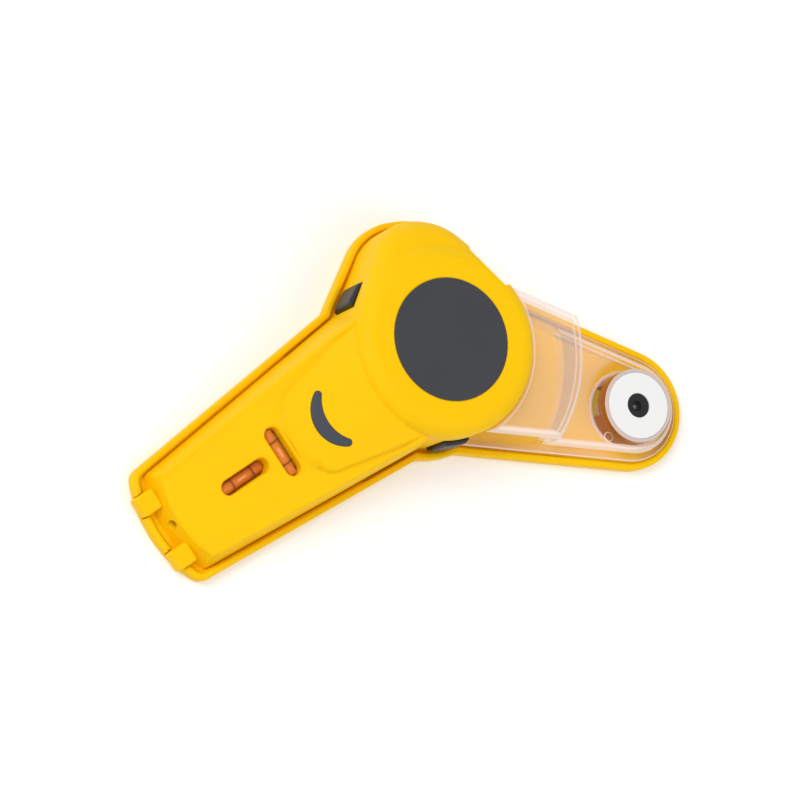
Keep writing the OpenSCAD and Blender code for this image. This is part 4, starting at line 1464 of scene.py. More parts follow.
@dataclass
class WallPlate:
    """The yellow tray against the wall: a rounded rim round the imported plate's own floor."""

    rim_round: float = 1.1
    foot_round: float = 0.5
    ledge_w: float = 0.6
    ledge_top: float = 4.6
    notch_gap: float = 0.3

    def reach(self, turns: Array, inset: float) -> Array:
        """Distance of the whole plate's outline: the farthest of bend, arm and handle."""
        parts = (PLAN.bend(), PLAN.arm(), PLAN.handle())
        return np.max([part.reach(turns, inset) for part in parts], axis=0)

    def rim(self, count: int = 560) -> bpy.types.Object:
        """Carries the rim's rounded section round the outline.

        Formula: each point of the section, an inset and a height, is the outline drawn in by that
        inset at that height.

        Args:
            count: number of steps round.

        Returns:
            The closed ring.
        """
        turns = even_turns(lambda a: self.reach(a, 0.0), count)
        r, w, top, foot = self.rim_round, PLAN.rim_w, PLAN.rim_top, self.foot_round
        arc = quarter(6)
        section = [(foot * (1 - np.sin(a)), foot * (1 - np.cos(a))) for a in arc]
        section += [(r * (1 - np.cos(a)), top - r * (1 - np.sin(a))) for a in arc]
        section += [(w - r * (1 - np.sin(a)), top - r * (1 - np.cos(a))) for a in arc]
        ledge = w + self.ledge_w
        section += [(w, self.ledge_top), (ledge, self.ledge_top), (ledge, 0.0)]
        rows = [polar(turns, self.reach(turns, i), z) for i, z in section]
        skin = Skin()
        skin.grid(np.array(rows), wrap_rows=True, wrap_columns=True)
        return skin.build("rim")

    def dress(self, frame: dict) -> None:
        """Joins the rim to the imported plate's floor and finishes the plate.
        """
        plate = node_copy(frame, "wall_plate", "wall_plate_tray")
        inset, below, above = PLAN.rim_w + 0.05, -1.0, PLAN.drum_top + 5.0
        core = rounded_slab("core", lambda a, i: self.reach(a, i + inset), below, above, 0.2, 400)
        work_in(plate, core, Join.KEEP)
        rim = self.rim()
        cover = MainCover()
        deep, tall, corner = 9.0, 8.0, 0.3
        size = (deep, cover.tab_w + 2 * self.notch_gap, tall)
        for s in (1, -1):
            at = (-PLAN.handle_reach + 2.5, s * cover.tab_y, PLAN.floor)
            work_in(rim, block("notch", size, at, 0.0, corner), Join.CUT)
        work_in(plate, rim, Join.ADD)
        enter(shade(plate), YELLOW_ABS, "housing", ["wall_plate"])


@dataclass
class SideButton:
    """One dark push button in the drum's wall, with the flange that keeps it in."""

    name: str
    angle: float
    width: float = 12.0
    low: float = 7.2
    high: float = 25.6
    proud: float = 2.1
    bulge: float = 0.15
    turn_over: float = 1.4
    across_power: int = 10
    up_power: int = 12
    flange_out: float = 39.3
    flange_t: float = 1.6
    flange_side: float = 1.2
    flange_end: float = 0.9

    def dress(self) -> None:
        """Builds the pad as a pillow of two parameters, adds its flange and finishes it.

        Formula: across and up the pad both run from -1 to 1; the front falls from its crown by a
        high power of each, so the middle is flat and the edges turn over.
        """
        u = np.sin(np.linspace(-np.pi / 2, np.pi / 2, 33))
        y, z = np.meshgrid(u, u)
        flat_y, flat_z = 1.0 - np.abs(y) ** self.across_power, 1.0 - np.abs(z) ** self.up_power
        crown = PLAN.drum_r + self.proud + self.bulge * (1 - y**2)
        front = crown - self.turn_over * (1.0 - flat_y * flat_z)
        tall, middle = self.high - self.low, 0.5 * (self.high + self.low)
        face = np.stack([front, 0.5 * self.width * y, middle + 0.5 * tall * z], axis=-1)
        back = face.copy()
        back[..., 0] = self.flange_out - 0.2
        skin = Skin()
        first, last = [
            np.concatenate([k[0, :-1], k[:-1, -1], k[-1, :0:-1], k[:0:-1, 0]])
            for k in (skin.grid(face), skin.grid(back))
        ]
        skin.faces.append(np.stack([first, np.roll(first, -1), np.roll(last, -1), last], axis=-1))
        pad = skin.build(f"{self.name}_cap")
        size = (self.flange_t, self.width + 2 * self.flange_side, tall + 2 * self.flange_end)
        at = (self.flange_out - 0.5 * self.flange_t, 0.0, self.low - self.flange_end)
        work_in(pad, block("flange", size, at, 0.0, 0.3), Join.ADD)
        pad.data.transform(Matrix.Rotation(np.radians(self.angle), 4, "Z"))
        enter(shade(pad), BUTTON_NYLON, self.name, [self.name])


@dataclass
class ButtonSpring:
    """The coil that pushes a button back, built at its rest length; in use it shortens as the
    button goes in.
    """

    name: str
    angle: float
    start: float = 32.86
    length: float = 4.85
    height: float = 16.4
    coil_r: float = 2.15
    wire_r: float = 0.25
    turns: float = 5.5
    flat_share: float = 0.14
    keep: float = 0.5

    def dress(self) -> None:
        """Carries a round wire along a helix with closed end turns, and finishes it.

        Formula: the helix climbs evenly between its first and last flat share, so that it lies
        flat at both ends; the wire is a circle across the helix at each step.
        """
        t = np.linspace(0.0, 1.0, 221)
        climb = np.clip((t - self.flat_share) / (1 - 2 * self.flat_share), 0.0, 1.0)
        along = self.wire_r + (self.length - 2 * self.wire_r) * climb
        turn = TAU * self.turns * t
        path = np.stack([along, self.coil_r * np.cos(turn), self.coil_r * np.sin(turn)], axis=-1)
        ahead = np.gradient(path, axis=0)
        ahead /= np.linalg.norm(ahead, axis=1)[:, None]
        out = np.stack([0 * t, np.cos(turn), np.sin(turn)], axis=-1)
        side = np.cross(ahead, out)
        q = circle(10)[None, :, None]
        wire = path[:, None] + self.wire_r * (out[:, None] * np.cos(q) + side[:, None] * np.sin(q))
        place = np.array([self.start, 0.0, self.height])
        tips = [(row, path[row] + place) for row in (0, -1)]
        spring = capped(f"{self.name}_coil", wire + place, tips)
        spring.data.transform(Matrix.Rotation(np.radians(self.angle), 4, "Z"))
        enter(shade(spring), SPRING_STEEL, "housing", [f"{self.name}_spring"])
        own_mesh(spring)


@dataclass
class FilterFelt:
    """The felt behind the drum's mouth: a thin curved pad, pinched at its edges."""

    middle_r: float = 38.1
    thickness: float = 0.96
    low: float = 7.05
    high: float = 21.95
    half: float = 18.9
    ripple: float = 0.06

    def dress(self) -> None:
        """Builds the felt on a grid of angle and height, and finishes it.

        Formula: each face stands off the middle by half the thickness times the fourth root of the
        share left to the edges, with a slight ripple of the fibres.
        """
        u, v = np.linspace(-1, 1, 61), np.linspace(-1, 1, 37)
        a, b = np.meshgrid(np.sin(u * np.pi / 2), np.sin(v * np.pi / 2))
        full = np.clip((1 - a**2) * (1 - b**2), 0, 1) ** 0.25
        ripple = 1.0 - self.ripple * (1 + np.sin(40 * a + 9 * b) * np.sin(31 * b - 7 * a))
        off = 0.5 * self.thickness * full * ripple
        angle = np.radians(PLAN.arm_turn + self.half * a)
        z = 0.5 * (self.low + self.high) + 0.5 * (self.high - self.low) * b
        skin = Skin()
        for side in (1, -1):
            skin.grid(polar(angle, self.middle_r + side * off, z))
        felt = skin.build("filter_felt_pad")
        enter(shade(felt), FELT, "housing", ["filter_media"])


@dataclass
class DustBox:
    """The clear box with its tall chamber, low channel, flange and drill tube."""

    wall: float = 2.0
    base: float = 2.5
    gap: float = 0.6
    tall_top: float = 33.0
    tall_r: float = 69.5
    tall_inset: float = 5.7
    low_top: float = 12.6
    low_inset: float = 6.8
    rounding: float = 3.4
    flange_top: float = 7.2
    flange_round: float = 0.8
    tube_r: float = 17.0
    tube_in_r: float = 15.4
    tube_top: float = 16.2
    tube_edge: float = 0.5
    ledge: float = 1.8
    ledge_t: float = 1.5
    foot_w: float = 1.3
    foot_h: float = 1.1
    port: tuple[float, float, float] = (6.0, 14.0, 9.0)
    polished: float = 4.5
    drum_edge: float = 2.2
    boss_at: tuple[float, float] = (55.2, -79.5)
    boss_r: float = 2.3
    boss_h: float = 1.2
    stop: tuple[float, float, float] = (4.0, 5.0, 4.6)
    stop_far: float = 71.2
    stop_angle: float = -63.5
    ring_low: float = 14.0
    ring_top: float = 16.6
    ring_r: float = 15.3
    ring_edge: float = 0.5
    hole_r: float = 5.6
    hole_edge: float = 0.4
    seal_low: float = 12.4

    def tall(self, drawn: float) -> Callable[[Array, float], Array]:
        """Outline of the tall chamber, drawn in: the arm, cut off by a circle about the fan."""
        arm, inset, far = PLAN.arm(), self.tall_inset + drawn, self.tall_r - drawn
        return lambda a, i: np.minimum(arm.reach(a, inset + i), far - i)

    def flat(self, inset: float) -> Callable[[Array, float], Array]:
        """Outline of the whole arm, drawn in by inset."""
        arm = PLAN.arm()
        return lambda a, i: arm.reach(a, inset + i)

    def room(self, name: str, grow: float, edge: float) -> bpy.types.Object:
        """Makes the solid that the cover takes up beside the box, widening at the box's top.

        Formula: rings of the cover's outline, moved out by the clearance and, over the last bit of
        height, by edge times (1 - cos), so that the box keeps a rounded upper edge there.

        Args:
            name: the object's name.
            grow: clearance on all sides.
            edge: radius of the edge that the cut leaves on the box.

        Returns:
            The closed solid.
        """
        outline = PLAN.cover_bend()
        turns = even_turns(lambda a: outline.reach(a, -grow), 240)
        arc = quarter(7)
        grows = [grow, *(grow + edge * (1 - np.cos(arc))), grow + edge]
        heights = [-1.0, *(self.tall_top - edge * (1 - np.sin(arc))), self.tall_top + 2.0]
        rows = [polar(turns, outline.reach(turns, -g), z) for g, z in zip(grows, heights)]
        return capped(name, rows, [(row, (0, 0, heights[row])) for row in (0, -1)])

    def inside(self) -> bpy.types.Object:
        """Makes the rooms inside the box, a wall's thickness in from its outer forms.

        Returns:
            The solid that is cut from the box.
        """
        w, below, rounding = self.wall, -2.0, self.rounding - 1.0
        inside = rounded_slab("inside", self.tall(w), below, self.tall_top - w, rounding)
        channel = self.flat(self.low_inset + w)
        low = rounded_slab("low_inside", channel, below, self.low_top - w, rounding)
        work_in(inside, low, Join.ADD)
        work_in(inside, self.room("drum_side", self.gap + w, 0.5), Join.CUT)
        return inside

    def shell(self) -> bpy.types.Object:
        """Builds the box: rounded outer forms, less the rooms inside.

        Returns:
            The box without its tube, ring and seal.
        """
        flange, base, top = self.flat(PLAN.seam), self.base, self.low_top
        box = rounded_slab("dust_box_shell", flange, base, self.flange_top, self.flange_round)
        tall = rounded_slab("tall", self.tall(0.0), base, self.tall_top, self.rounding)
        work_in(box, tall, Join.ADD)
        low = rounded_slab("low", self.flat(self.low_inset), base, top, self.rounding)
        work_in(box, low, Join.ADD)
        work_in(box, self.inside(), Join.CUT)
        way = pin("tube_way", self.tube_r, -2.0, self.tube_top + 2, PLAN.drill_at, 96)
        work_in(box, way, Join.CUT)
        r, sunk, high = self.boss_r, top - 0.5, top + self.boss_h
        boss = [(0.0, sunk), (r, sunk), (r, high - 0.3), (r - 0.4, high), (0.0, high)]
        work_in(box, lathe("boss", boss, self.boss_at, 40), Join.ADD)
        stop_at = (self.stop_far, 0.0, sunk)
        work_in(box, block("stop", self.stop, stop_at, self.stop_angle, 0.6, 0.6), Join.ADD)
        work_in(box, self.room("cover_side", self.gap, self.drum_edge), Join.CUT)
        cover = MainCover()
        outer = PLAN.drum_r + 3 * self.wall
        mouth = sector(PLAN.drum_r, outer, PLAN.arm_turn, cover.mouth_half)
        work_in(box, prism("mouth", mouth, (0, 0), (cover.mouth_low, cover.mouth_high)), Join.CUT)
        return box

    def tube(self) -> bpy.types.Object:
        """Turns the drill tube with its inner ledge, and cuts the port towards the drum.

        Returns:
            The tube.
        """
        r, inner, top, edge = self.tube_r - 0.02, self.tube_in_r, self.tube_top, self.tube_edge
        lip, ledge, under = inner - self.ledge, self.ring_low, self.ring_low - self.ledge_t
        profile = [(inner, self.base), (r, self.base), (r, self.low_top)]
        profile += [(r, top - edge), (r - edge, top), (inner, top)]
        profile += [(inner, ledge), (lip, ledge), (lip, under), (inner, under)]
        tube = lathe("dust_box_tube", profile, PLAN.drill_at, 128)
        port = block("port", self.port, (PLAN.drill_far - r, 0.0, 0.0), PLAN.arm_turn, 0.3)
        work_in(tube, port, Join.CUT)
        return tube

    def foot(self) -> bpy.types.Object:
        """Turns the collar round the tube's foot.

        Returns:
            The collar.
        """
        r, low, wide, high = self.tube_r, self.base, self.foot_w, self.foot_h
        profile = [(r, low), (r + wide, low), (r + wide, low + high - 0.5)]
        profile += [(r + wide - 0.5, low + high), (r, low + high)]
        return lathe("dust_box_tube_foot", profile, PLAN.drill_at, 128)

    def ring(self) -> bpy.types.Object:
        """Turns the white ring, with rounded outer and inner upper edges.

        Returns:
            The ring.
        """
        low, top, r, hole = self.ring_low, self.ring_top, self.ring_r, self.hole_r
        edge, soft, arc = self.ring_edge, self.hole_edge, quarter(7)
        profile = [(hole, low), (r, low)]
        profile += [(r - edge * (1 - np.cos(a)), top - edge * (1 - np.sin(a))) for a in arc]
        profile += [(hole + soft * (1 - np.sin(a)), top - soft * (1 - np.cos(a))) for a in arc]
        return lathe("guide_ring_disc", profile, PLAN.drill_at, 128)

    def plug(self) -> bpy.types.Object:
        """Turns the rubber seal: a flange under the ring, and a cup in its hole with a thin lip.

        Returns:
            The seal.
        """
        low, top, r = self.seal_low, self.ring_top, self.hole_r - 0.05
        neck = self.ring_low - 0.02
        profile = [(1.0, low), (8.0, low), (8.0, neck), (r, neck), (r, top - 0.7)]
        profile += [(r - 0.35, top - 0.5), (r - 0.95, top - 0.6), (2.9, top - 1.2)]
        profile += [(2.3, top - 1.7), (2.1, low + 0.9), (1.0, low + 0.5)]
        return lathe("drill_seal_plug", profile, PLAN.drill_at, 96)

    def dress(self) -> None:
        """Builds and finishes the box, its tube, its white ring and its rubber seal."""
        polished = replace(CLEAR_FACE, spot=(*PLAN.drill_at, self.tube_r + self.polished))
        box = enter(shade(self.shell()), polished, "dust_box", ["dust_box"])
        mark_clear(box)
        # The tube's amber brown is painted shade and the yellow seen through its clear wall
        tube = enter(shade(self.tube()), TUBE_PAINTED_SHADE, "dust_box", ["dust_box"])
        # The tube's top millimetre takes the edge finish: a painted highlight ring round the white
        # disc
        mark(tube, CLEAR_EDGE_HIGHLIGHT, faces(tube, "center")[:, 2] > (self.tube_top - 1.0) * MM)
        # The collar at the tube's foot takes the edge finish all over: a painted highlight line
        enter(shade(self.foot()), CLEAR_EDGE_HIGHLIGHT, "dust_box")
        enter(shade(self.ring()), WHITE_PP, "dust_box", ["guide_ring"])
        enter(shade(self.plug()), BLACK_RUBBER, "dust_box", ["drill_seal"])


def faces(piece: bpy.types.Object, what: str) -> Array:
    """Reads one vector of every face of a piece.

    Args:
        piece: the mesh object.
        what: which vector, such as "normal" or "center".

    Returns:
        The vectors, as an array of faces by 3.
    """
    values = np.empty(3 * len(piece.data.polygons))
    piece.data.polygons.foreach_get(what, values)
    return values.reshape(-1, 3)


def mark(piece: bpy.types.Object, finish: Finish, chosen: Array) -> None:
    """Gives some faces of a piece another finish.

    Args:
        piece: the mesh object.
        finish: the finish of the chosen faces.
        chosen: true for each face that gets it.
    """
    index = np.empty(len(piece.data.polygons), np.int32)
    piece.data.polygons.foreach_get("material_index", index)
    piece.data.materials.append(finish.material())
    index[chosen] = len(piece.data.materials) - 1
    piece.data.polygons.foreach_set("material_index", index)


def mark_clear(box: bpy.types.Object, least: float = 0.14, most: float = 0.98) -> None:
    """Finishes the clear box by the slant of each face: faint upright walls lightened against their
    shade, and rounded edges in a painted highlight.

    Args:
        box: the box.
        least: smallest upright share of a rounded edge's normal.
        most: largest upright share.
    """
    upright = np.abs(faces(box, "normal")[:, 2])
    mark(box, CLEAR_THIN, upright <= least)
    mark(box, CLEAR_EDGE_HIGHLIGHT, (upright > least) & (upright < most))


@dataclass
class Vials:
    """The two spirit vials with their spirit, bubble and marker rings."""

    radius: float = 3.5
    length: float = 24.0
    wall: float = 0.8
    tube_round: float = 1.4
    bore_round: float = 0.9
    bubble_r: float = 1.2
    bubble_len: float = 6.4
    bubble_drop: float = 1.15
    marker_step: float = 5.4
    marker_half: float = 0.3

    def capsule(
        self, name: str, r: float, length: float, at: Sequence[float], turn: float, end: float
    ) -> bpy.types.Object:
        """Makes a rod with rounded ends lying in the plan.

        Formula: along the rod the radius follows a quarter circle at each end and is even between.

        Args:
            name: the object's name.
            r: radius.
            length: full length.
            at: its middle.
            turn: angle of its axis from +X.
            end: radius of the rounding at its ends.

        Returns:
            The closed solid.
        """
        a, q, e = quarter(9), circle(48), min(r, end)
        half = 0.5 * length - e
        cap, rim = half + e * np.cos(a), r - e + e * np.sin(a)
        along = np.concatenate([-cap, np.linspace(-half, half, 12)[1:-1], cap[::-1]])
        around = np.concatenate([rim, np.full(10, r), rim[::-1]])
        around = np.maximum(around, 0.02)
        side, up = np.outer(around, np.cos(q)), np.outer(around, np.sin(q))
        ends = ((0, -half - e), (-1, half + e))
        tips = [(row, lay(tip, 0.0, 0.0, at, turn)) for row, tip in ends]
        return capped(name, lay(along[:, None], side, up, at, turn), tips)

    def marker(self, name: str, at: Sequence[float], turn: float, step: float) -> bpy.types.Object:
        """Makes one printed ring round the vial, as a thin band just outside it.

        Args:
            name: the object's name.
            at: the vial's middle.
            turn: angle of the vial's axis.
            step: place of the ring along the axis.

        Returns:
            The closed ring.
        """
        inner, outer, half = self.radius - 0.05, self.radius + 0.06, self.marker_half
        section = [(inner, -half), (outer, -half), (outer, half), (inner, half)]
        r, place = np.array(section).T
        q = circle(48)
        along, side = (place + step)[:, None], np.outer(r, np.cos(q))
        skin = Skin()
        points = lay(along, side, np.outer(r, np.sin(q)), at, turn)
        skin.grid(points, wrap_rows=True, wrap_columns=True)
        return skin.build(name)

    def dress(self) -> None:
        """Builds and finishes both vials."""
        outer, inner, room = self.radius, self.radius - self.wall, self.length - 2 * self.wall
        end, bore_end = self.tube_round, self.bore_round
        for seat in VIAL_SEATS:
            name, turn, at = seat.name, seat.turn, (-seat.far, 0.0, seat.height)
            tube = self.capsule(f"{name}_vial_tube", outer, self.length, at, turn, end)
            work_in(tube, self.capsule("bore", inner, room, at, turn, bore_end), Join.CUT)
            enter(shade(tube), VIAL_ACRYLIC, "housing", [f"{name}_vial"])
            rod = self.capsule(f"{name}_spirit", inner - 0.03, room - 0.1, at, turn, bore_end)
            enter(shade(rod), AMBER_SPIRIT, "housing", [f"{name}_fluid"])
            r, high = self.bubble_r, (at[0], at[1], at[2] + inner - self.bubble_drop)
            bubble = self.capsule(f"{name}_bubble", r, self.bubble_len, high, turn, r)
            enter(shade(bubble), BUBBLE, "housing")
            for k, step in enumerate((-self.marker_step, self.marker_step)):
                ring = self.marker(f"{name}_marker_{k + 1}", at, turn, step)
                enter(shade(ring), MARKER_INK, "housing")


@dataclass
class Trim:
    """The label disc on the drum and the crescent under the thumb."""

    label_t: float = 0.5
    outer_x: float = -56.0
    outer_r: float = 15.7
    inner_x: float = -48.05
    inner_r: float = 17.75
    tip_at: tuple[float, float] = (-63.07, 12.2)
    tip_r: float = 1.6
    proud: float = 0.3
    sunk: float = 0.85

    def label(self) -> bpy.types.Object:
        """Makes the label: a thin disc with a softened edge.

        Returns:
            The disc.
        """
        top, r, t = PLAN.drum_top, PLAN.label_r, self.label_t
        profile = [(0.0, top - t), (r, top - t), (r, top - 0.15)]
        profile += [(r - 0.15, top - 0.03), (r - 0.4, top), (0.0, top)]
        return lathe("label_disc_film", profile, (0, 0), 160)

    def chains(self, grow: float) -> tuple[Array, Array, Array]:
        """Draws the crescent's two sides, each from one tip round to the other.

        Formula: a side is its big arc and then half of each tip's small arc, which both touch.

        Args:
            grow: how far the outline stands out.

        Returns:
            The outer side, the inner side and the share of full height along them.
        """
        tip = np.array(self.tip_at)
        far, near = tip - (self.outer_x, 0.0), np.array([self.inner_x, 0.0]) - tip
        start, stop = np.arctan2(far[1], far[0]), np.arctan2(near[1], near[0])
        middle = 0.5 * (start + stop)
        big, small = np.linspace(0, 1, 31), np.linspace(0, 1, 11)[1:]
        sides = []
        for x, r, last, turn in (
            (self.outer_x, self.outer_r + grow, start, start),
            (self.inner_x, self.inner_r - grow, stop + np.pi, stop),
        ):
            bow = np.pi + (last - np.pi) * big
            arc = np.stack([x + r * np.cos(bow), r * np.sin(bow)], axis=-1)
            curl = turn + (middle - turn) * small
            end = tip + (self.tip_r + grow) * np.stack([np.cos(curl), np.sin(curl)], axis=-1)
            half = np.concatenate([arc, end])
            sides.append(np.concatenate([half[:0:-1] * (1, -1), half]))
        lift = np.concatenate([np.ones(31), np.cos(0.5 * np.pi * small)])
        return sides[0], sides[1], np.concatenate([lift[:0:-1], lift])

    def crescent(
        self, name: str, cover: MainCover, grow: float, low: float, high: float
    ) -> bpy.types.Object:
        """Makes a solid between the crescent's sides that follows the tongue.

        Formula: rows run from the outer to the inner side; the top stands high over the tongue,
        less a quarter-power fall to nothing at the sides and tips.

        Args:
            name: the object's name.
            cover: the cover whose surface it follows.
            grow: how far its outline stands out.
            low: height of its bottom over the tongue.
            high: height of its crown over the tongue.

        Returns:
            The closed solid.
        """
        outer, inner, lift = self.chains(grow)
        v = (0.5 - 0.5 * np.cos(np.linspace(0, np.pi, 15)))[:, None]
        plan = outer[None] * (1 - v[..., None]) + inner[None] * v[..., None]
        x, y = plan[..., 0], plan[..., 1]
        surface = cover.handle_height(x, y, 0.0)
        crown = np.clip(4 * v * (1 - v) * lift[None], 0.0, 1.0) ** 0.25
        skin = Skin()
        top = skin.grid(np.stack([x, y, surface - 0.1 + (high + 0.1) * crown], axis=-1))
        foot = skin.grid(np.stack([x, y, surface + low], axis=-1))
        for row in (0, -1):
            pair = np.stack([top[row], foot[row]])
            cells = np.stack([pair[0, :-1], pair[0, 1:], pair[1, 1:], pair[1, :-1]], axis=-1)
            skin.faces.append(cells)
        return skin.build(name)

    def dress(self) -> None:
        """Builds and finishes label and crescent."""
        enter(shade(self.label()), LABEL_FILM, "housing", ["label_disc"])
        pad = self.crescent("thumb_inlay_pad", MainCover(), 0.0, -self.sunk, self.proud)
        enter(shade(pad), INLAY_RUBBER, "housing", ["thumb_inlay"])


@dataclass
class WallSide:
    """The soft pieces against the wall: a foam seal round the dust mouth and two rubber pads."""

    seal_inset: float = 4.0
    seal_w: float = 4.0
    seal_depth: float = 1.1
    seal_edge: float = 0.35
    seal_room: float = 0.05
    seal_reach: float = 56.0
    hub_reach: float = 80.0
    pad_r: float = 5.0
    pad_round: float = 0.6
    dimple_r: float = 2.6
    dimple_depth: float = 0.25
    pad_at: tuple[tuple[float, float], ...] = ((-116.0, 20.0), (-116.0, -20.0))

    def seal(self) -> bpy.types.Object:
        """Carries a crowned foam section round the loop.

        Formula: across the strip the face to the wall swells by the fourth root of the share left
        to the strip's sides; the loop is measured from a hub on the dust arm.

        Returns:
            The closed strip.
        """
        axis, drill = heading(PLAN.arm_turn), PLAN.drill_far
        root_r = PLAN.arm_root_r + (PLAN.arm_end_r - PLAN.arm_root_r) * self.seal_reach / drill
        hub = self.hub_reach * axis
        circles = [(*((self.seal_reach - self.hub_reach) * axis), root_r)]
        circles += [(*((drill - self.hub_reach) * axis), PLAN.arm_end_r)]
        loop = Outline(tuple(circles))
        turns = even_turns(lambda a: loop.reach(a, self.seal_inset), 300)
        v = 0.5 - 0.5 * np.cos(np.linspace(0, np.pi, 13))
        insets = self.seal_inset + self.seal_room + (self.seal_w - 2 * self.seal_room) * v
        swell = np.clip(4 * v * (1 - v), 0, 1) ** 0.25
        lower = self.seal_depth - self.seal_edge - (self.seal_depth - self.seal_edge) * swell
        rows = [polar(turns, loop.reach(turns, i), z) for i, z in zip(insets, lower)]
        upper = self.seal_depth - 0.02
        rows += [polar(turns, loop.reach(turns, i), upper) for i in insets[::-1]]
        skin = Skin()
        skin.grid(np.array(rows) + (*hub, 0.0), wrap_rows=True, wrap_columns=True)
        return skin.build("wall_seal_foam")

    def pad(self, number: int, at: Sequence[float]) -> bpy.types.Object:
        """Turns one rubber pad with a rounded edge and a dimple.

        Args:
            number: the pad's number, for its name.
            at: its middle.

        Returns:
            The pad.
        """
        r, top, edge = self.pad_r - 0.05, self.seal_depth - 0.02, self.pad_round
        profile = [(0.0, top), (r, top)]
        profile += [(r - edge * (1 - np.cos(a)), edge * (1 - np.sin(a))) for a in quarter(9)]
        rim, deep = self.dimple_r, self.dimple_depth
        profile += [(rim, 0.0), (rim - 0.4, deep), (0.0, deep)]
        return lathe(f"grip_pad_{number}", profile, at, 64)

    def dress(self) -> None:
        """Builds and finishes the seal and the pads."""
        seal = enter(shade(self.seal()), BLACK_FOAM, "housing", ["wall_seal"])
        for number, at in enumerate(self.pad_at, 1):
            pad = shade(self.pad(number, at))
            enter(pad, BLACK_RUBBER, "housing", ["grip_pads"])


# Stage


@dataclass(frozen=True)
class PhotoCamera:
    """The photograph's view: how the part is turned to the lens and where its drum top falls.

    Angles are in degrees, sight is in metres, and what ends in px is in the picture's own points.
    """

    tilt: float = 27.2
    turn: float = 22.33
    roll: float = -11.35
    focal_px: float = 3000.0
    frame_px: float = 800.0
    distance: float = 1299.5
    aim: tuple[float, float, float] = (0.0, 0.0, 40.1)
    aim_px: tuple[float, float] = (451.92, 338.95)
    sensor: float = 36.0
    sight: float = 20.0

    def place(self) -> None:
        """Works out the lens axes from the three angles and sets the camera there."""
        t, a, h = np.radians([self.tilt, self.turn, self.roll])
        up = np.array([np.sin(t) * np.cos(a), -np.sin(t) * np.sin(a), -np.cos(t)])
        over = np.array([np.cos(t) * np.cos(a), -np.cos(t) * np.sin(a), np.sin(t)])
        across = np.array([np.sin(a), np.cos(a), 0.0])
        along = np.cos(h) * over + np.sin(h) * across
        axes = np.stack([along, np.cross(up, along), up], axis=1)
        right, down, ahead = axes
        off = (np.array(self.aim_px) - 0.5 * self.frame_px) / self.focal_px
        shift = np.array([*off, 1.0]) * self.distance - axes @ np.array(self.aim)
        spot = -axes.T @ shift * MM
        data = bpy.data.cameras.new("photo_camera")
        data.sensor_width = self.sensor
        data.lens = self.focal_px / self.frame_px * data.sensor_width
        data.clip_end = self.sight
        camera = bpy.data.objects.new("photo_camera", data)
        bpy.context.scene.collection.objects.link(camera)
        pose = np.eye(4)
        pose[:3, 0], pose[:3, 1], pose[:3, 2], pose[:3, 3] = right, -down, -ahead, spot
        camera.matrix_world = Matrix(pose.tolist())
        bpy.context.scene.camera = camera


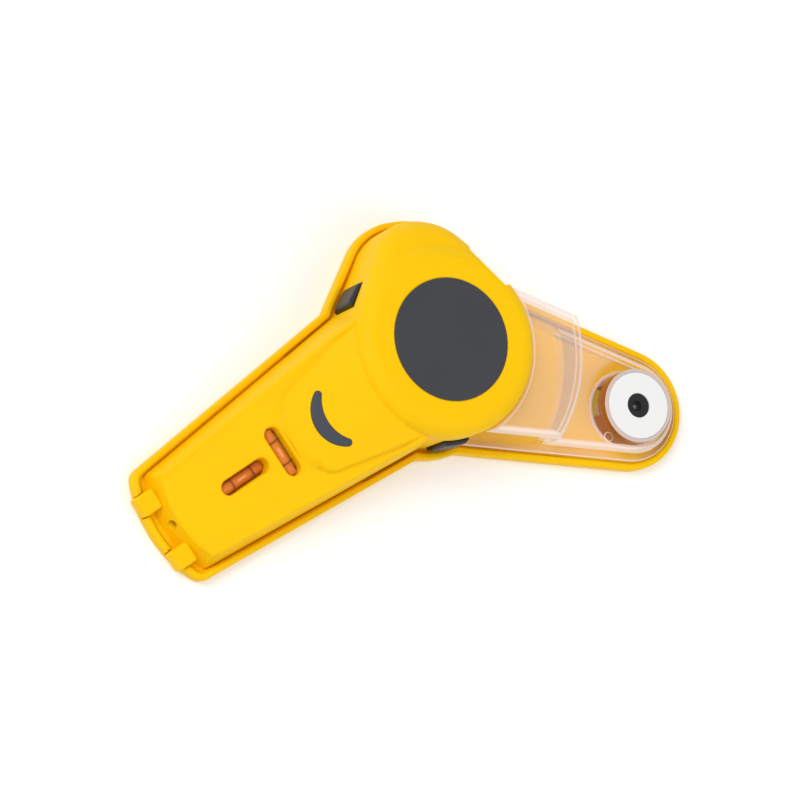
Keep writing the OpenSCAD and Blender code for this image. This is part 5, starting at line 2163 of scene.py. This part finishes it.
@dataclass(frozen=True)
class Studio:
    """A pale floor and plain soft light.

    Each lamp is a name, a place and a side in metres, and a power in watts.
    """

    floor_half: float = 1500.0
    floor_low: float = -0.3
    floor_glow: float = 0.12
    sky: float = 0.54
    lamps: tuple[tuple[str, tuple[float, float, float], float, float], ...] = (
        ("key_lamp", (-0.6, 0.85, 1.2), 1.0, 12.0),
        ("fill_lamp", (0.1, -1.0, 1.0), 1.2, 5.2),
    )

    def build(self) -> None:
        """Lays the floor, hangs two soft lamps and sets the even surround."""
        edge = np.linspace(-self.floor_half, self.floor_half, 5)
        x, y = np.meshgrid(edge, edge)
        skin = Skin()
        skin.grid(np.stack([x, y, np.full_like(x, self.floor_low)], axis=-1))
        floor = skin.build("floor")
        dress(floor, PAPER)
        self.whiten(PAPER.material().node_tree)
        floor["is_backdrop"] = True
        world = bpy.data.worlds.new("surround")
        world.use_nodes = True
        light = world.node_tree.nodes["Background"].inputs
        light["Color"].default_value = linear("#FFFFFF")
        light["Strength"].default_value = self.sky
        bpy.context.scene.world = world
        for lamp in self.lamps:
            self.hang(*lamp)

    def whiten(self, tree: bpy.types.NodeTree) -> None:
        """Lifts the floor to white where the camera sees it, or sees it in or through a piece.

        Args:
            tree: the floor material's nodes.
        """
        paper, out = tree.nodes["Principled BSDF"].outputs[0], tree.nodes["Material Output"]
        white = {"Color": linear("#FFFFFF"), "Strength": self.floor_glow}
        glow = add_node(tree, "ShaderNodeEmission", white).outputs[0]
        both = add_node(tree, "ShaderNodeAddShader", None, {0: paper, 1: glow}).outputs[0]
        path = add_node(tree, "ShaderNodeLightPath").outputs
        sight = path["Is Camera Ray"]
        for kind in ("Is Glossy Ray", "Is Transmission Ray"):
            either = {0: sight, 1: path[kind]}
            sight = add_node(tree, "ShaderNodeMath", {"operation": "MAXIMUM"}, either).outputs[0]
        mixed = add_node(tree, "ShaderNodeMixShader", None, {0: sight, 1: paper, 2: both})
        tree.links.new(mixed.outputs[0], out.inputs["Surface"])

    def hang(self, name: str, spot: Sequence[float], size: float, watts: float) -> None:
        """Hangs one square soft lamp that faces the part.

        Args:
            name: the lamp's name.
            spot: its place in metres.
            size: its side in metres.
            watts: its power.
        """
        data = bpy.data.lights.new(name, "AREA")
        data.size = size
        data.energy = watts
        lamp = bpy.data.objects.new(name, data)
        bpy.context.scene.collection.objects.link(lamp)
        lamp.location = spot
        lamp.rotation_euler = (-Vector(spot)).to_track_quat("-Z", "Y").to_euler()


def carry_over(frame: dict) -> None:
    """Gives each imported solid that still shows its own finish.
    """
    for node, finish in CARRIED_OVER.items():
        dress(frame["nodes"][node], finish)
        LOG.info("%s: packed solid, %s", node, finish.name)


def corners(box: tuple[Vector, Vector]) -> list[list[float]]:
    """Gives a box's two corners as plain lists of numbers."""
    return [[float(value) for value in corner] for corner in box]


def main() -> None:
    logging.basicConfig(level=logging.INFO, format="%(name)s: %(message)s")
    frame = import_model()
    packed_box = corners(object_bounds())
    bpy.context.scene.view_settings.view_transform = "Standard"
    PhotoCamera().place()
    Studio().build()
    WallPlate().dress(frame)
    MainCover().dress()
    Trim().dress()
    Vials().dress()
    for kind in (SideButton, ButtonSpring):
        for place in ButtonPlace:
            kind(*place.value).dress()
    FilterFelt().dress()
    DustBox().dress()
    WallSide().dress()
    carry_over(frame)
    json.dumps({"packed": packed_box, "visual": corners(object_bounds())})


if __name__ == "__main__":
    main()
